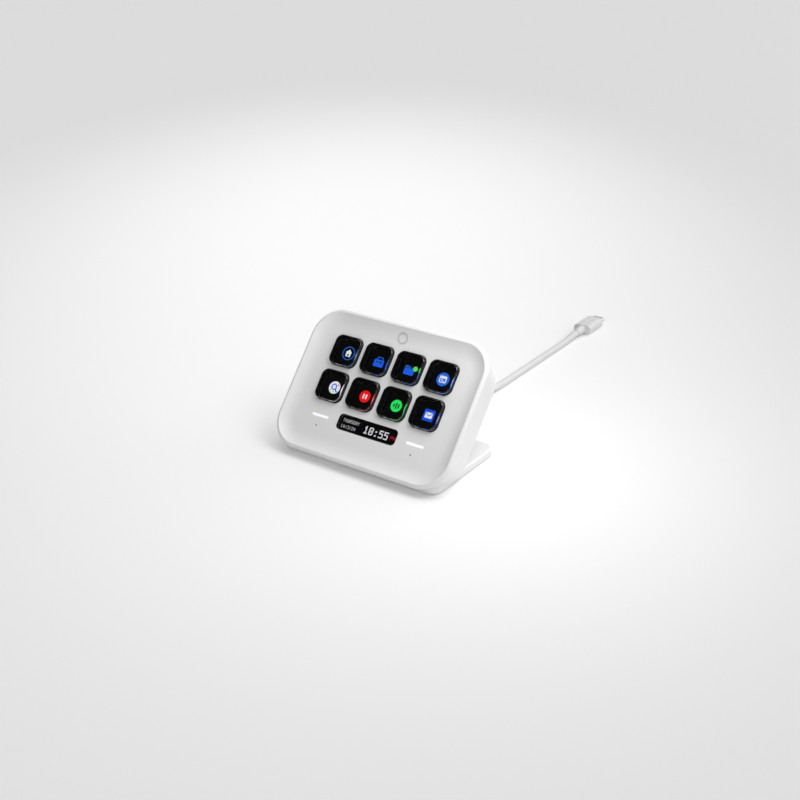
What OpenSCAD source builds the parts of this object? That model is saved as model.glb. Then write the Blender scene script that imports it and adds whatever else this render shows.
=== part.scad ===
// Desk keypad: a leaning slab with eight display keys, an info bar and two touch points,
// standing on a flat foot and fed by one captive lead.
// The head is modelled lying on its back: its origin is the centre of the face at the height of
// the rim's crest, +Y runs up the face and +Z stands out of it. head() leans it on its foot.

/* [Face] */
// Distance from the key grid to the rim at the sides
side_margin = 14.6; // [13.5:0.1:20]
// Distance from the key grid to the rim at the top
top_margin = 11.8; // [11:0.1:16]
// Distance from the key grid to the rim at the bottom
bottom_margin = 27.3; // [25:0.1:32]
// Corner radius of the face
face_r = 16.5; // [14:0.5:18]
// Radius of the rim's rounded outer edge
rim_r = 1.8; // [1.2:0.1:2.2]
// Depth of the dished face below the rim's crest
dish_depth = 2.6; // [1.6:0.1:3]
// Radius of the concave slope inside the rim
dish_r = 13.6; // [10:0.2:16]
// Wall of the face
face_t = 2; // [1.6:0.1:2.4]

/* [Body] */
// Lean of the face back from the vertical, in degrees
lean = 40; // [36:1:44]
// Thickness of the head, crest to back
body_t = 26; // [25:0.5:30]
// Wall of the two shells
wall = 2.2; // [1.8:0.1:2.4]
// Draft of the side walls, in degrees
draft = 13.2; // [9:0.2:14]
// Radius of the back's outer edge
rear_r = 4; // [3:0.5:6]
// Depth of the line where the front and rear shells part
split = 12; // [11.5:0.5:13]
// Height of the lip that keys the shells together
lip_h = 1.5; // [1:0.1:2]
// Thickness of that lip
lip_t = 1; // [0.8:0.1:1.2]
// How far the rim would dip below the foot's top if it were not cut flat
rim_dip = 0.6; // [0.2:0.1:1]

/* [Foot] */
// Width of the foot
base_w = 95; // [90:1:100]
// Depth of the foot
base_d = 57.5; // [54:0.5:64]
// Height of the foot's top above the desk
base_top = 4.4; // [4.2:0.1:5.2]
// Corner radius of the foot
base_r = 6; // [5:0.5:9]
// Radius of the foot's upper edge
base_edge = 1.2; // [0.6:0.1:1.6]
// Setback of the foot's front from the rim
base_setback = 5.1; // [4:0.1:6]
// Height at which the pad carries the foot's skirt
pad_show = 0.5; // [0.3:0.1:0.8]
// Thickness of the rubber pad
pad_t = 1.3; // [1:0.1:1.5]
// Thickness of the steel weight
weight_t = 1.6; // [1.2:0.1:1.6]
// Width of the skirt round the pad
skirt = 3.4; // [2.5:0.1:5]

/* [Keys] */
// Distance from key to key
key_pitch = 19.45; // [19.2:0.05:20]
// Width of a key cap
key_w = 16.2; // [15:0.1:16.4]
// Height of a key cap
key_h = 16.4; // [15:0.1:16.6]
// Corner radius of a key cap
key_corner = 3.7; // [3:0.1:4.2]
// Radius of a key cap's upper edge
key_edge = 1; // [0.6:0.1:1.3]
// How far a cap stands above the face
key_rise = 2.3; // [1.8:0.1:2.6]
// Gap round a cap in its opening
key_gap = 0.3; // [0.2:0.05:0.4]
// Travel of a key
travel = 0.9; // [0.5:0.1:0.9]
// Width of the flange that keeps a cap in
flange_out = 1.1; // [0.8:0.1:1.2]
// Thickness of that flange
flange_t = 0.8; // [0.6:0.1:1]

/* [Info bar and lights] */
// Width of the info bar
bar_w = 36.2; // [32:0.2:38]
// Height of the info bar
bar_h = 8.5; // [7:0.1:9]
// Corner radius of the info bar
bar_corner = 2.3; // [1.5:0.1:3]
// Drop of the info bar's centre below the key grid's centre
bar_drop = 26; // [25.6:0.1:26.6]
// Thickness of the info bar's window
pane_t = 1.8; // [1.4:0.1:2.2]
// Width of a light bar
light_w = 10.4; // [8:0.2:11]
// Height of a light bar
light_h = 1.5; // [1.2:0.1:2]
// Distance of the light bars from the middle
light_x = 29.2; // [28.4:0.2:30.4]
// Drop of the light bars below the key grid's centre
light_drop = 26.3; // [25.8:0.1:26.8]
// Drop of a touch point below its light bar
touch_drop = 5.4; // [5:0.1:6]
// Radius of a touch point's dimple
touch_r = 0.8; // [0.6:0.05:1]
// Sideways place of the touch points from the middle of their light bars
touch_shift = -0.55; // [-1:0.05:1]
// Outer radius of the groove for the round inlay above the keys
ring_r = 3.1; // [2.4:0.1:3.4]
// Width of that groove
ring_w = 0.8; // [0.6:0.05:1]
// Depth of that groove
ring_depth = 0.5; // [0.4:0.05:0.8]
// Height that the inlay stands above the slope
ring_rise = 0.25; // [0.1:0.05:0.4]
// Drop of the inlay's centre below the rim
ring_drop = 7.05; // [6:0.05:8]

/* [Inside] */
// Thickness of the domed switch sheet
sheet_t = 0.5; // [0.4:0.05:0.6]
// Thickness of the key board
key_board_t = 0.8; // [0.6:0.1:1]
// Thickness of the display's glass
glass_t = 1; // [0.8:0.1:1.2]
// Thickness of the backlight
backlight_t = 1.4; // [1:0.1:1.6]
// Thickness of the carrier behind the display
frame_t = 1.5; // [1.2:0.1:1.6]
// Thickness of the main board
board_t = 1.6; // [1.2:0.1:1.6]
// Width of the main board
board_w = 78; // [70:1:82]
// Height of the main board
board_h = 38; // [34:1:38]
// Height of the posts that carry the main board
post_h = 3; // [2.5:0.1:3.2]
// Radius of the foot screws
foot_screw_r = 1.25; // [1:0.05:1.3]
// Radius of the small screws
small_screw_r = 0.9; // [0.8:0.05:1]

/* [Lead] */
// Diameter of the lead
cord_d = 4; // [4:0.1:4]
// Radius of the strain relief where it leaves the head
boot_r = 3.2; // [3:0.1:3.4]
// Length of the strain relief outside the head
boot_len = 20; // [16:1:21]
// Turns of the coil in each layer
coil_turns = 5; // [4:1:5]
// Width of the plug's moulding
plug_w = 11.5; // [11:0.1:12.5]
// Height of the plug's moulding
plug_h = 6.4; // [6:0.1:6.4]
// Length of the plug's moulding
plug_len = 18; // [16:0.5:22]
// Thickness of the strap round the coil
tie_t = 0.6; // [0.6:0.1:0.6]

/* [Hidden] */
$fn = 48;

shell_white = [0.93, 0.93, 0.92];
board_green = [0.12, 0.32, 0.2];
steel = [0.62, 0.63, 0.65];
cord_grey = [0.86, 0.86, 0.85];

fit = 0.1;             // gap between pieces that are assembled and stay put
slide = 0.2;           // gap that a piece moves through
eps = 0.01;            // overrun of a cut
far = 200;             // larger than the whole keypad
seat_dip = 0.05;       // slack of a screw in its pilot hole

// Key grid and the face round it.
key_rows = 2;
key_cols = 4;
key_count = key_rows * key_cols;
face_w = key_cols * key_pitch + 2 * side_margin;
face_h = key_rows * key_pitch + top_margin + bottom_margin;
grid_up = (bottom_margin - top_margin) / 2;
function key_x(i) = ((i - 1) % key_cols - (key_cols - 1) / 2) * key_pitch;
function key_y(i) = grid_up + (i <= key_cols ? 0.5 : -0.5) * key_pitch;

// Rim, dish and side wall as seen in a section through one corner, measured from its centre.
corner = [face_w / 2 - face_r, face_h / 2 - face_r];
rim_c = [face_r - rim_r, -rim_r];
rear_c = [rim_c.x + (rim_r - rear_r - (body_t - rear_r - rim_r) * sin(draft)) / cos(draft),
          rear_r - body_t];
dish_w = sqrt(dish_depth * (2 * dish_r - dish_depth));
land_r = face_r - rim_r - dish_w;
face_back = -dish_depth - face_t;
function side_r(z, inset) = rim_c.x + (rim_r * sin(draft) + rim_r - inset + z * sin(draft)) / cos(draft);

// Where the head stands. The rim's lowest point dips just below the foot's top.
head_h = base_top - rim_dip + rim_r * (1 + sin(lean)) + (face_h / 2 - rim_r) * cos(lean);
head_front = -(face_h / 2 - rim_r) * sin(lean) + rim_r * cos(lean) - rim_r;
head_back = (corner.y + rear_c.x) * sin(lean) - rear_c.y * cos(lean) + rear_r;
head_y = -(head_front + head_back) / 2;
base_front = head_y + head_front + base_setback;
function back_y(z, inset) = head_y + (body_t - inset + (z - head_h) * sin(lean)) / cos(lean);
function split_y(z) = head_y + (split + (z - head_h) * sin(lean)) / cos(lean);
function to_head_y(y, z) = (y - head_y) * sin(lean) + (z - head_h) * cos(lean);

// Levels inside the head, from the face down.
cap_top = key_rise - dish_depth;
flange_top = face_back - slide;
flange_low = flange_top - flange_t;
dome_top = flange_low - fit;
sheet_top = flange_low - travel - slide;
board_top = sheet_top - sheet_t;
glass_top = board_top - key_board_t;
backlight_top = glass_top - glass_t;
carrier_top = backlight_top - backlight_t;
carrier_low = carrier_top - frame_t;
main_top = carrier_low - post_h;
main_low = main_top - board_t;

// Keys, window and display.
key_cap_c = [key_w / 2 - key_corner, key_h / 2 - key_corner];
pipe_in = 1;           // how far the cap's light block stands in from its sides
pipe_low = glass_top + travel + slide;
pipe_gap = 0.4;        // gap round the light block in the sheet and the board
dome_w = 1;            // wall of a dome
display_edge = 1;      // dead edge of the display beyond the caps
display_w = key_cols * key_pitch + display_edge;
display_top = key_y(1) + key_h / 2 + display_edge / 2;
display_low = key_y(key_count) - key_h / 2 - display_edge / 2;
display_h = display_top - display_low;
display_y = (display_top + display_low) / 2;
bar_y = grid_up - bar_drop;
window_lip = 1;        // lip of the info window behind the face
window_low = face_back - 0.8;
info_top = -dish_depth - pane_t - fit;
info_low = info_top - 1.4;
key_board_low = bar_y + bar_h / 2 + window_lip + fit;

// Carrier, its ears and the display's ribbon.
tray_wall = 1.2;
tray_w = display_w + 2 * (slide + tray_wall);
tray_h = display_h + 2 * (slide + tray_wall);
boss_r = 2.2;
ear_gap = 0.5;
ear_x = tray_w / 2 + boss_r + ear_gap;
ears = [for (x = [-1, 1], y = [-0.28, 0.28]) [x * ear_x, display_y + y * display_h]];
rib_x = bar_w / 3;     // ribs of the tongue that reaches under the info bar
rib_low = bar_y - bar_h / 2 + 1;
ribbon_w = 22;         // ribbon of the display
ribbon_y = display_low + 9;
ribbon_run = 5;
ribbon_rise = 1.2;     // height of the ribbon over the main board

// Foot: pocket, weight and screws.
pocket_w = base_w - 2 * skirt;
pocket_d = base_d - 2 * skirt;
base_y = base_front + base_d / 2;
weight_low = pad_t;
pocket_top = pad_t + weight_t;
foot_x = 34;
foot_head_r = 2.5;
front_screw_y = base_front + skirt + foot_head_r + 0.7;
rear_screw_y = (split_y(base_top) + back_y(base_top, 0)) / 2 + 1;
foot_screws = [for (x = [-1, 1], y = [front_screw_y, rear_screw_y]) [x * foot_x, y]];
foot_screw_len = 7.2;
tab_top = base_top + wall + 3;

// Light guides, touch boards and touch points.
light_foot = 1;        // foot of a light guide behind the face
light_y = grid_up - light_drop;
light_lip = 0.7;       // how far that foot is wider than its bar
touch_y = light_y - touch_drop;
touch_pad_w = 6;
touch_pad_h = 3;
lamp = 1.6;            // length of a lamp
touch_board_top = face_back - light_foot - 0.8;
touch_board_t = 0.8;
touch_board_w = 15;
touch_board_h = 11;
touch_board_y = (light_y + touch_y) / 2;
touch_post_x = 6.2;

// Round inlay on the slope above the keys.
ring_fit = 0.05;       // gap round the inlay, filled with glue
ring_y = face_h / 2 - ring_drop;
ring_tilt = asin((ring_y - corner.y - land_r) / dish_r);

// Lead: gland, route and coil.
cord_x = 8;
collar_r = 4.2;
boot_z = base_top + 0.8 + fit + collar_r;
gland_back = back_y(boot_z, wall);
gland_front = gland_back - 5;
gland_half = 7.4;
gland_top = boot_z + 4.6;
neck_r = boot_r - 0.3;
collar_t = 2;
collar_y = gland_front + 1.5;
clamp_t = 2;
clamp_screw_x = 5.7;
clamp_head_t = 0.9;
board_edge = to_head_y(collar_y + collar_t / 2, gland_top + clamp_t + clamp_head_t);
boot_in = gland_front - 1;
boot_out = back_y(boot_z, 0) + boot_len;
coil_c = [-22, 72];
coil_out = 30;         // radius of the coil's outermost turn
coil_z = tie_t;        // the coil lies on its strap
tail_start = [cord_x, coil_c.y, coil_z + 1.5 * cord_d];
lead_end = [cord_x, coil_c.y, coil_z + 0.5 * cord_d];
lead_route = [
  [cord_x, boot_out, boot_z], [8, 29, 9.5], [8, 34, 8.7], [8, 39, 7.3], [8, 44, 5.7],
  [8, 49, 4.3], [8, 54, 3.3], [8, 60, 2.7], [8, 66, 2.6], lead_end
];
plug_y = 200;
plug_z = plug_h / 2;
tail_route = [
  tail_start, [8, 78, 6.6], [8, 83, 6.3], [8, 88, 5.1], [8, 93, 3.5], [8, 98, 2.4], [8, 104, 2],
  [8, 114, 2], [8, 124, 2], [8, 134, 2], [8, 144, 2], [8, 154, 2], [8, 164, 2], [8, 174, 2],
  [8, 184, 2.1], [8, 190, 2.6], [8, 195, 3.2], [cord_x, plug_y, plug_z]
];
plug_boot = 8;
tongue_len = 6.6;

// Main board, standing just above the clamp of the lead.
board_y = board_edge + board_h / 2;
post_x = board_w / 2 - 4;
post_y = board_h / 2 - 4;
posts = [for (x = [-1, 1], y = [-1, 1]) [x * post_x, board_y + y * post_y]];
chip_w = 14;           // largest package on the main board
chip_t = 1.2;
can_r = 2.5;           // capacitors
can_h = 4;
header_w = 8;          // header of the lead
header_d = 5;
header_x = -4;
header_y = board_edge + 1;

// ---------- shapes that several pieces share ----------

// A flat rectangle with round corners.
module rounded(w, h, r) {
  square([w - 2 * r, h], center = true);
  square([w, h - 2 * r], center = true);
  for (x = [-1, 1], y = [-1, 1]) translate([x * (w / 2 - r), y * (h / 2 - r)]) circle(r);
}

// A plate with round corners between two heights.
module plate(w, h, r, low, high) {
  translate([0, 0, low]) linear_extrude(high - low) rounded(w, h, r);
}

// Sweeps a section round a rectangle whose corner centres are at c, and fills its middle.
module swept(c, low, high) {
  for (x = [-1, 1], y = [-1, 1])
    translate([x * c.x, y * c.y, 0])
      rotate([0, 0, x > 0 ? (y > 0 ? 0 : 270) : (y > 0 ? 90 : 180)])
        rotate_extrude(angle = 90, $fn = 96) children();
  for (s = [-1, 1]) {
    translate([s * c.x, 0, 0]) rotate([90, 0, 90 - s * 90])
      translate([0, 0, -c.y]) linear_extrude(2 * c.y) children();
    translate([0, s * c.y, 0]) rotate([90, 0, s * 90])
      translate([0, 0, -c.x]) linear_extrude(2 * c.x) children();
  }
  if (high > low) translate([-c.x, -c.y, low]) cube([2 * c.x, 2 * c.y, high - low]);
}

// Leans the head on its foot.
module head() {
  translate([0, head_y, head_h]) rotate([90 - lean, 0, 0]) children();
}

// Everything above a height over the desk, seen from the head.
module above(z) {
  rotate([lean - 90, 0, 0]) translate([-far, -far, z - head_h]) cube(2 * far);
}

// Places a piece at each point of a list.
module at(points, z = 0) {
  for (p = points) translate([p.x, p.y, z]) children();
}

// A screw with its head's underside at 0, pointing up.
module screw(r, length, head_r, head_t) {
  translate([0, 0, -head_t]) {
    cylinder(r = r, h = head_t + length);
    cylinder(r = head_r, h = head_t);
  }
}

// A tube along a route.
function unit(v) = v / norm(v);
function heading(p, i) = unit(p[min(i + 1, len(p) - 1)] - p[max(i - 1, 0)]);
function ring_at(p, i, r, n) =
  let (t = heading(p, i), u = unit(cross([0, 0, 1], t)), v = cross(t, u))
  [for (k = [0 : n - 1]) p[i] + r * (cos(360 * k / n) * u + sin(360 * k / n) * v)];
module tube(p, r, n = 8) {
  last = len(p) - 1;
  polyhedron(
    [for (i = [0 : last]) each ring_at(p, i, r, n)],
    concat(
      [[for (k = [0 : n - 1]) k]],
      [for (i = [0 : last - 1], k = [0 : n - 1])
        [i * n + k, (i + 1) * n + k, (i + 1) * n + (k + 1) % n, i * n + (k + 1) % n]],
      [[for (k = [n - 1 : -1 : 0]) last * n + k]]),
    convexity = 6);
}

// ---------- shells ----------

// Section of the closed body: rounded rim, drafted side, rounded back edge.
module body_section() {
  n = [cos(draft), -sin(draft)];
  polygon([[0, 0], [rim_c.x, 0], rim_c + rim_r * n, rear_c + rear_r * n,
           [rear_c.x, -body_t], [0, -body_t]]);
  translate(rim_c) circle(rim_r);
  translate(rear_c) circle(rear_r);
}

// Section of the dish in the face: a flat land and a concave slope up to the rim.
module dish_section() {
  translate([0, -dish_depth]) square([land_r, dish_depth + 1]);
  intersection() {
    translate([land_r, dish_r - dish_depth]) circle(dish_r, $fn = 160);
    translate([land_r, -dish_depth]) square([dish_w + 1, dish_depth + 1]);
  }
}

// Section of the hollow: an even wall under the dish, inside the side and the back.
module hollow_section() {
  difference() {
    union() {
      polygon([[0, -wall], [side_r(-wall, wall), -wall],
               [side_r(rear_c.y, wall), rear_c.y], [rear_c.x, rear_c.y],
               [rear_c.x, wall - body_t], [0, wall - body_t]]);
      intersection() {
        translate(rear_c) circle(rear_r - wall);
        translate([rear_c.x - eps, wall - body_t]) square([rear_r, rear_r]);
      }
    }
    translate([0, face_back]) square([land_r + eps, far]);
    intersection() {
      translate([land_r, dish_r - dish_depth]) circle(dish_r + face_t, $fn = 160);
      translate([land_r, face_back]) square([face_r, far]);
    }
  }
}

module hollow() {
  swept(corner, wall - body_t, face_back) hollow_section();
}

// The whole hollow head, cut flat where it stands on the foot.
module head_walls() {
  difference() {
    intersection() {
      swept(corner, -body_t, 0) body_section();
      above(base_top);
    }
    intersection() {
      hollow();
      above(base_top + wall);
    }
  }
}

// The lip on the front shell, or the rabbet it seats in.
module lip(gap) {
  low = -split - lip_h - gap;
  intersection() {
    swept(corner, 0, 0)
      polygon([[side_r(-split, wall + gap * 8), eps - split],
               [side_r(-split, wall - lip_t - gap), eps - split],
               [side_r(low, wall - lip_t - gap), low], [side_r(low, wall + gap * 8), low]]);
    above(base_top + wall + 1 - gap);
  }
}

module key_openings() {
  for (i = [1 : key_count])
    translate([key_x(i), key_y(i), 0])
      plate(key_w + 2 * key_gap, key_h + 2 * key_gap, key_corner + key_gap, face_back - 1, 1);
}

module info_opening() {
  translate([0, bar_y, 0]) plate(bar_w, bar_h, bar_corner, face_back - 1, 1);
}

module light_slot(w, h, low, high) {
  translate([0, 0, low]) linear_extrude(high - low) rounded(w, h, h / 2 - eps);
}

// The slope above the keys, as a cylinder along it.
module slope_round(r) {
  translate([0, corner.y + land_r, dish_r - dish_depth]) rotate([0, 90, 0])
    cylinder(r = r, h = 4 * ring_r, center = true);
}

// A ring that stands square to that slope, with its floor parallel to it.
module slope_ring(gap, depth) {
  intersection() {
    translate([0, ring_y, dish_r - dish_depth - dish_r * cos(ring_tilt)])
      rotate([ring_tilt, 0, 0]) difference() {
        translate([0, 0, -ring_r]) cylinder(r = ring_r - gap, h = 2 * ring_r);
        translate([0, 0, -ring_r - 1])
          cylinder(r = ring_r - ring_w + gap, h = 2 * ring_r + 2);
      }
    slope_round(dish_r + depth);
  }
}

module front_shell() {
  color(shell_white) difference() {
    union() {
      head() difference() {
        union() {
          intersection() {
            head_walls();
            translate([-far, -far, -split]) cube(2 * far);
          }
          lip(0);
          at(ears, carrier_top) cylinder(r = boss_r, h = face_back - carrier_top + face_t / 2);
          for (x = [-light_x, light_x], s = [-1, 1])
            translate([x + s * touch_post_x, touch_board_y, touch_board_top])
              cylinder(r = 1.2, h = face_back - touch_board_top + face_t / 2);
        }
        swept(corner, -dish_depth, 1) dish_section();
        key_openings();
        info_opening();
        for (s = [-1, 1]) {
          translate([s * light_x, light_y, 0])
            light_slot(light_w, light_h, face_back - 1, 1);
          translate([s * light_x + touch_shift, touch_y, touch_r * 0.4 - dish_depth])
            sphere(touch_r);
        }
        slope_ring(0, ring_depth);
        at(ears, carrier_top - eps)
          cylinder(r = small_screw_r + seat_dip, h = 3.5);
      }
      intersection() {
        head() hollow();
        for (s = [-1, 1])
          translate([s * foot_x - 4, front_screw_y - 3, base_top + wall - eps])
            cube([8, 6, tab_top - base_top - wall]);
      }
    }
    for (s = [-1, 1])
      translate([s * foot_x, front_screw_y, base_top - 1])
        cylinder(r = foot_screw_r + seat_dip, h = tab_top - base_top + 0.2);
  }
}

// The round inlay, glued into its groove.
module face_ring() {
  color([0.86, 0.86, 0.86]) head() difference() {
    slope_ring(ring_fit, ring_depth - ring_fit);
    slope_round(dish_r - ring_rise);
  }
}

module rear_shell() {
  color(shell_white) difference() {
    union() {
      head() difference() {
        intersection() {
          head_walls();
          translate([-far, -far, -2 * far - split]) cube(2 * far);
        }
        lip(fit);
      }
      for (s = [-1, 1])
        translate([s * foot_x, rear_screw_y, base_top + 1]) cylinder(r = 3, h = tab_top - base_top);
      intersection() {
        head() hollow();
        translate([cord_x - gland_half, gland_front, base_top + 1])
          cube([2 * gland_half, far, gland_top - base_top - 1]);
      }
    }
    for (s = [-1, 1])
      translate([s * foot_x, rear_screw_y, base_top - 1])
        cylinder(r = foot_screw_r + seat_dip, h = tab_top - base_top + 0.4);
    // gland: a bore for the neck, a groove for the collar, both open at the top
    translate([cord_x, gland_front - 1, boot_z]) rotate([-90, 0, 0])
      cylinder(r = neck_r + fit, h = 20);
    translate([cord_x - neck_r - fit, gland_front - 1, boot_z])
      cube([2 * (neck_r + fit), gland_back - gland_front, gland_top - boot_z + 1]);
    translate([cord_x, collar_y - fit, boot_z]) rotate([-90, 0, 0])
      cylinder(r = collar_r + fit, h = collar_t + 2 * fit);
    translate([cord_x - collar_r - fit, collar_y - fit, boot_z])
      cube([2 * (collar_r + fit), collar_t + 2 * fit, gland_top - boot_z + 1]);
    for (s = [-1, 1])
      translate([cord_x + s * clamp_screw_x, collar_y + collar_t / 2, gland_top - 3.5])
        cylinder(r = small_screw_r + seat_dip, h = 4);
  }
}

// ---------- foot ----------

module foot_section() {
  polygon([[0, pad_show], [base_r - 0.3, pad_show], [base_r, pad_show + 0.3],
           [base_r, base_top - base_edge], [base_r - base_edge, base_top], [0, base_top]]);
  translate([base_r - base_edge, base_top - base_edge]) circle(base_edge);
}

module base_shell() {
  color(shell_white) difference() {
    translate([0, base_y, 0])
      swept([base_w / 2 - base_r, base_d / 2 - base_r], pad_show, base_top) foot_section();
    translate([0, base_y, 0])
      plate(pocket_w, pocket_d, base_r - 2, pad_show - 1, pocket_top);
    at(foot_screws, pocket_top - 1) cylinder(r = foot_screw_r + fit, h = base_top);
  }
}

module base_weight() {
  color(steel) difference() {
    translate([0, base_y, 0])
      plate(pocket_w - 2 * slide, pocket_d - 2 * slide, base_r - 2 - slide, weight_low, pocket_top);
    at(foot_screws, weight_low - eps) {
      cylinder(r = foot_screw_r + fit, h = weight_t + 1);
      cylinder(r1 = foot_head_r + fit, r2 = foot_screw_r + fit, h = 1.2);
    }
  }
}

module base_pad() {
  color([0.24, 0.24, 0.25]) difference() {
    translate([0, base_y, 0])
      plate(pocket_w - slide, pocket_d - slide, base_r - 2 - slide / 2, 0, pad_t);
    // shallow grooves that let the pad grip
    for (k = [-3 : 3])
      translate([-pocket_w / 2 + 6, base_y + k * 6 - 0.4, -eps]) cube([pocket_w - 12, 0.8, 0.3]);
  }
}

module base_screws() {
  color(steel) at(foot_screws, weight_low) difference() {
    union() {
      cylinder(r = foot_screw_r, h = foot_screw_len);
      cylinder(r1 = foot_head_r, r2 = foot_screw_r, h = 1.15);
    }
    translate([0, 0, -eps]) cylinder(r = 0.7, h = 0.7, $fn = 6);
  }
}

// ---------- keys ----------

// One clear cap: rounded top, flange behind the face and a light block down to the display.
module key_cap(i) {
  edge = [key_corner - key_edge, cap_top - key_edge];
  wide = key_corner + flange_out;
  block = key_corner - pipe_in;
  color([0.1, 0.1, 0.11]) head() translate([key_x(i), key_y(i), 0])
    swept(key_cap_c, pipe_low, cap_top) {
      union() {
        polygon([[0, cap_top], [edge.x, cap_top], [key_corner, edge.y],
                 [key_corner, flange_top], [wide, flange_top], [wide, flange_low],
                 [block, flange_low], [block, pipe_low], [0, pipe_low]]);
        translate(edge) circle(key_edge);
      }
    }
}

// The window in the sheet or the board behind one key.
module key_window(grow) {
  w = key_w - 2 * pipe_in + 2 * grow;
  h = key_h - 2 * pipe_in + 2 * grow;
  rounded(w, h, key_corner - pipe_in + grow);
}

module dome_sheet() {
  color([0.18, 0.18, 0.19]) head() difference() {
    union() {
      translate([0, grid_up, 0])
        plate(key_cols * key_pitch + 2, 2 * key_pitch + 2, 3, board_top, sheet_top);
      for (i = [1 : key_count])
        translate([key_x(i), key_y(i), sheet_top - eps])
          linear_extrude(dome_top - sheet_top + eps) key_window(pipe_gap + dome_w);
    }
    for (i = [1 : key_count])
      translate([key_x(i), key_y(i), board_top - 1]) linear_extrude(3) key_window(pipe_gap);
  }
}

module key_board() {
  color(board_green) head() difference() {
    translate([0, (display_top + key_board_low) / 2, 0])
      plate(display_w, display_top - key_board_low, 1.5, glass_top, board_top);
    for (i = [1 : key_count])
      translate([key_x(i), key_y(i), glass_top - 1]) linear_extrude(3) key_window(pipe_gap);
  }
}

// ---------- display ----------

module display_glass() {
  color([0.05, 0.05, 0.06]) head() translate([0, display_y, 0])
    plate(display_w, display_h, 1, backlight_top, glass_top);
}

module display_backlight() {
  color([0.8, 0.8, 0.78]) head() translate([0, display_y, 0])
    plate(display_w, display_h, 1, carrier_top, backlight_top);
}

// A tray that holds the display against the key board, with four ears and four posts.
module display_carrier() {
  color([0.2, 0.2, 0.21]) head() difference() {
    union() {
      translate([0, display_y, 0]) plate(tray_w, tray_h, 2, carrier_low, glass_top);
      at(ears, carrier_low) cylinder(r = boss_r + 0.2, h = frame_t);
      for (p = ears)
        translate([min(p.x, 0), p.y - boss_r, carrier_low])
          cube([abs(p.x), 2 * boss_r, frame_t]);
      // the tongue and its ribs press the info display up against its window
      translate([-rib_x - boss_r, rib_low, carrier_low])
        cube([2 * (rib_x + boss_r), display_low - rib_low, frame_t]);
      for (k = [-1 : 1])
        translate([k * rib_x - tray_wall / 2, rib_low, carrier_low])
          cube([tray_wall, bar_h - 2, info_low - carrier_low]);
      at(posts, main_top) cylinder(r = 2.2, h = post_h + eps);
    }
    translate([0, display_y, 0])
      plate(display_w + 2 * slide, display_h + 2 * slide, 1.2, carrier_top, 1);
    at(ears, carrier_low - 1) cylinder(r = small_screw_r + fit, h = frame_t + 2);
    at(posts, main_top - eps) cylinder(r = small_screw_r + seat_dip, h = post_h + frame_t - 0.5);
    translate([-ribbon_w / 2 - 3, ribbon_y - 1, carrier_low - 1])
      cube([ribbon_w + 6, ribbon_run + 1, frame_t + 2]);
    for (x = [-1, 1])
      translate([x * tray_w * 0.29, board_y, 0])
        plate(tray_w / 4, tray_h * 0.4, 3, carrier_low - 1, carrier_top + eps);
  }
}

module carrier_screws() {
  color(steel) head() at(ears, carrier_low) screw(small_screw_r, 4.5, 1.7, 1);
}

// The ribbon leaves the display through the carrier's slot and folds into its connector.
module display_ribbon() {
  t = 0.2;
  y1 = ribbon_y + ribbon_run;
  low = main_top + ribbon_rise;
  color([0.75, 0.5, 0.2]) head() rotate([90, 0, 90]) translate([0, 0, -ribbon_w / 2])
    linear_extrude(ribbon_w)
      polygon([[ribbon_y, carrier_top], [ribbon_y + t, carrier_top], [ribbon_y + t, low + t],
               [y1, low + t], [y1, low], [ribbon_y, low]]);
}

// ---------- info bar, lights and touch points ----------

// A clear pane that fills the opening, with a lip behind the face and a pocket for its display.
module info_window() {
  color([0.08, 0.08, 0.09]) head() translate([0, bar_y, 0]) difference() {
    union() {
      plate(bar_w - 2 * fit, bar_h - 2 * fit, bar_corner - fit, face_back - eps, -dish_depth);
      plate(bar_w + 2 * window_lip, bar_h + 2 * window_lip, bar_corner, window_low, face_back);
    }
    plate(bar_w - 1, bar_h - 1, bar_corner - 0.5, window_low - 1, -dish_depth - pane_t);
  }
}

// The info bar's own small display, nested in the window's pocket.
module info_display() {
  color([0.04, 0.04, 0.05]) head() translate([0, bar_y, 0])
    plate(bar_w - 1 - 2 * fit, bar_h - 1 - 2 * fit, bar_corner - 0.6, info_low, info_top);
}

module light_guide(s) {
  color([0.97, 0.97, 0.96]) head() translate([s * light_x, light_y, 0]) {
    light_slot(light_w - 2 * fit, light_h - 2 * fit, face_back - eps, 0.05 - dish_depth);
    plate(light_w + 2 * light_lip, light_h + 2 * light_lip, light_lip, face_back - light_foot,
          face_back);
  }
}
module light_guide_left() { light_guide(-1); }
module light_guide_right() { light_guide(1); }

// A small board with three lamps behind each light guide.
module touch_board(s) {
  color(board_green) head() {
    translate([s * light_x, touch_board_y, 0])
      plate(touch_board_w, touch_board_h, 1, touch_board_top - touch_board_t, touch_board_top);
    for (k = [-1 : 1])
      translate([s * light_x + (2 * k - 0.5) * lamp, light_y - lamp / 3, touch_board_top - eps])
        cube([lamp, lamp * 2 / 3, 0.7]);
  }
}
module touch_board_left() { touch_board(-1); }
module touch_board_right() { touch_board(1); }

// Conductive pads between the touch boards and the face.
module touch_pads() {
  color([0.15, 0.15, 0.16]) head() for (s = [-1, 1])
    translate([s * light_x + touch_shift, touch_y, 0])
      plate(touch_pad_w, touch_pad_h, 0.8, touch_board_top, face_back);
}

// ---------- electronics ----------

module main_board() {
  color(board_green) head() difference() {
    translate([0, board_y, 0]) plate(board_w, board_h, 2, main_low, main_top);
    at(posts, main_low - 1) cylinder(r = small_screw_r + fit, h = board_t + 2);
  }
}

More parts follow.
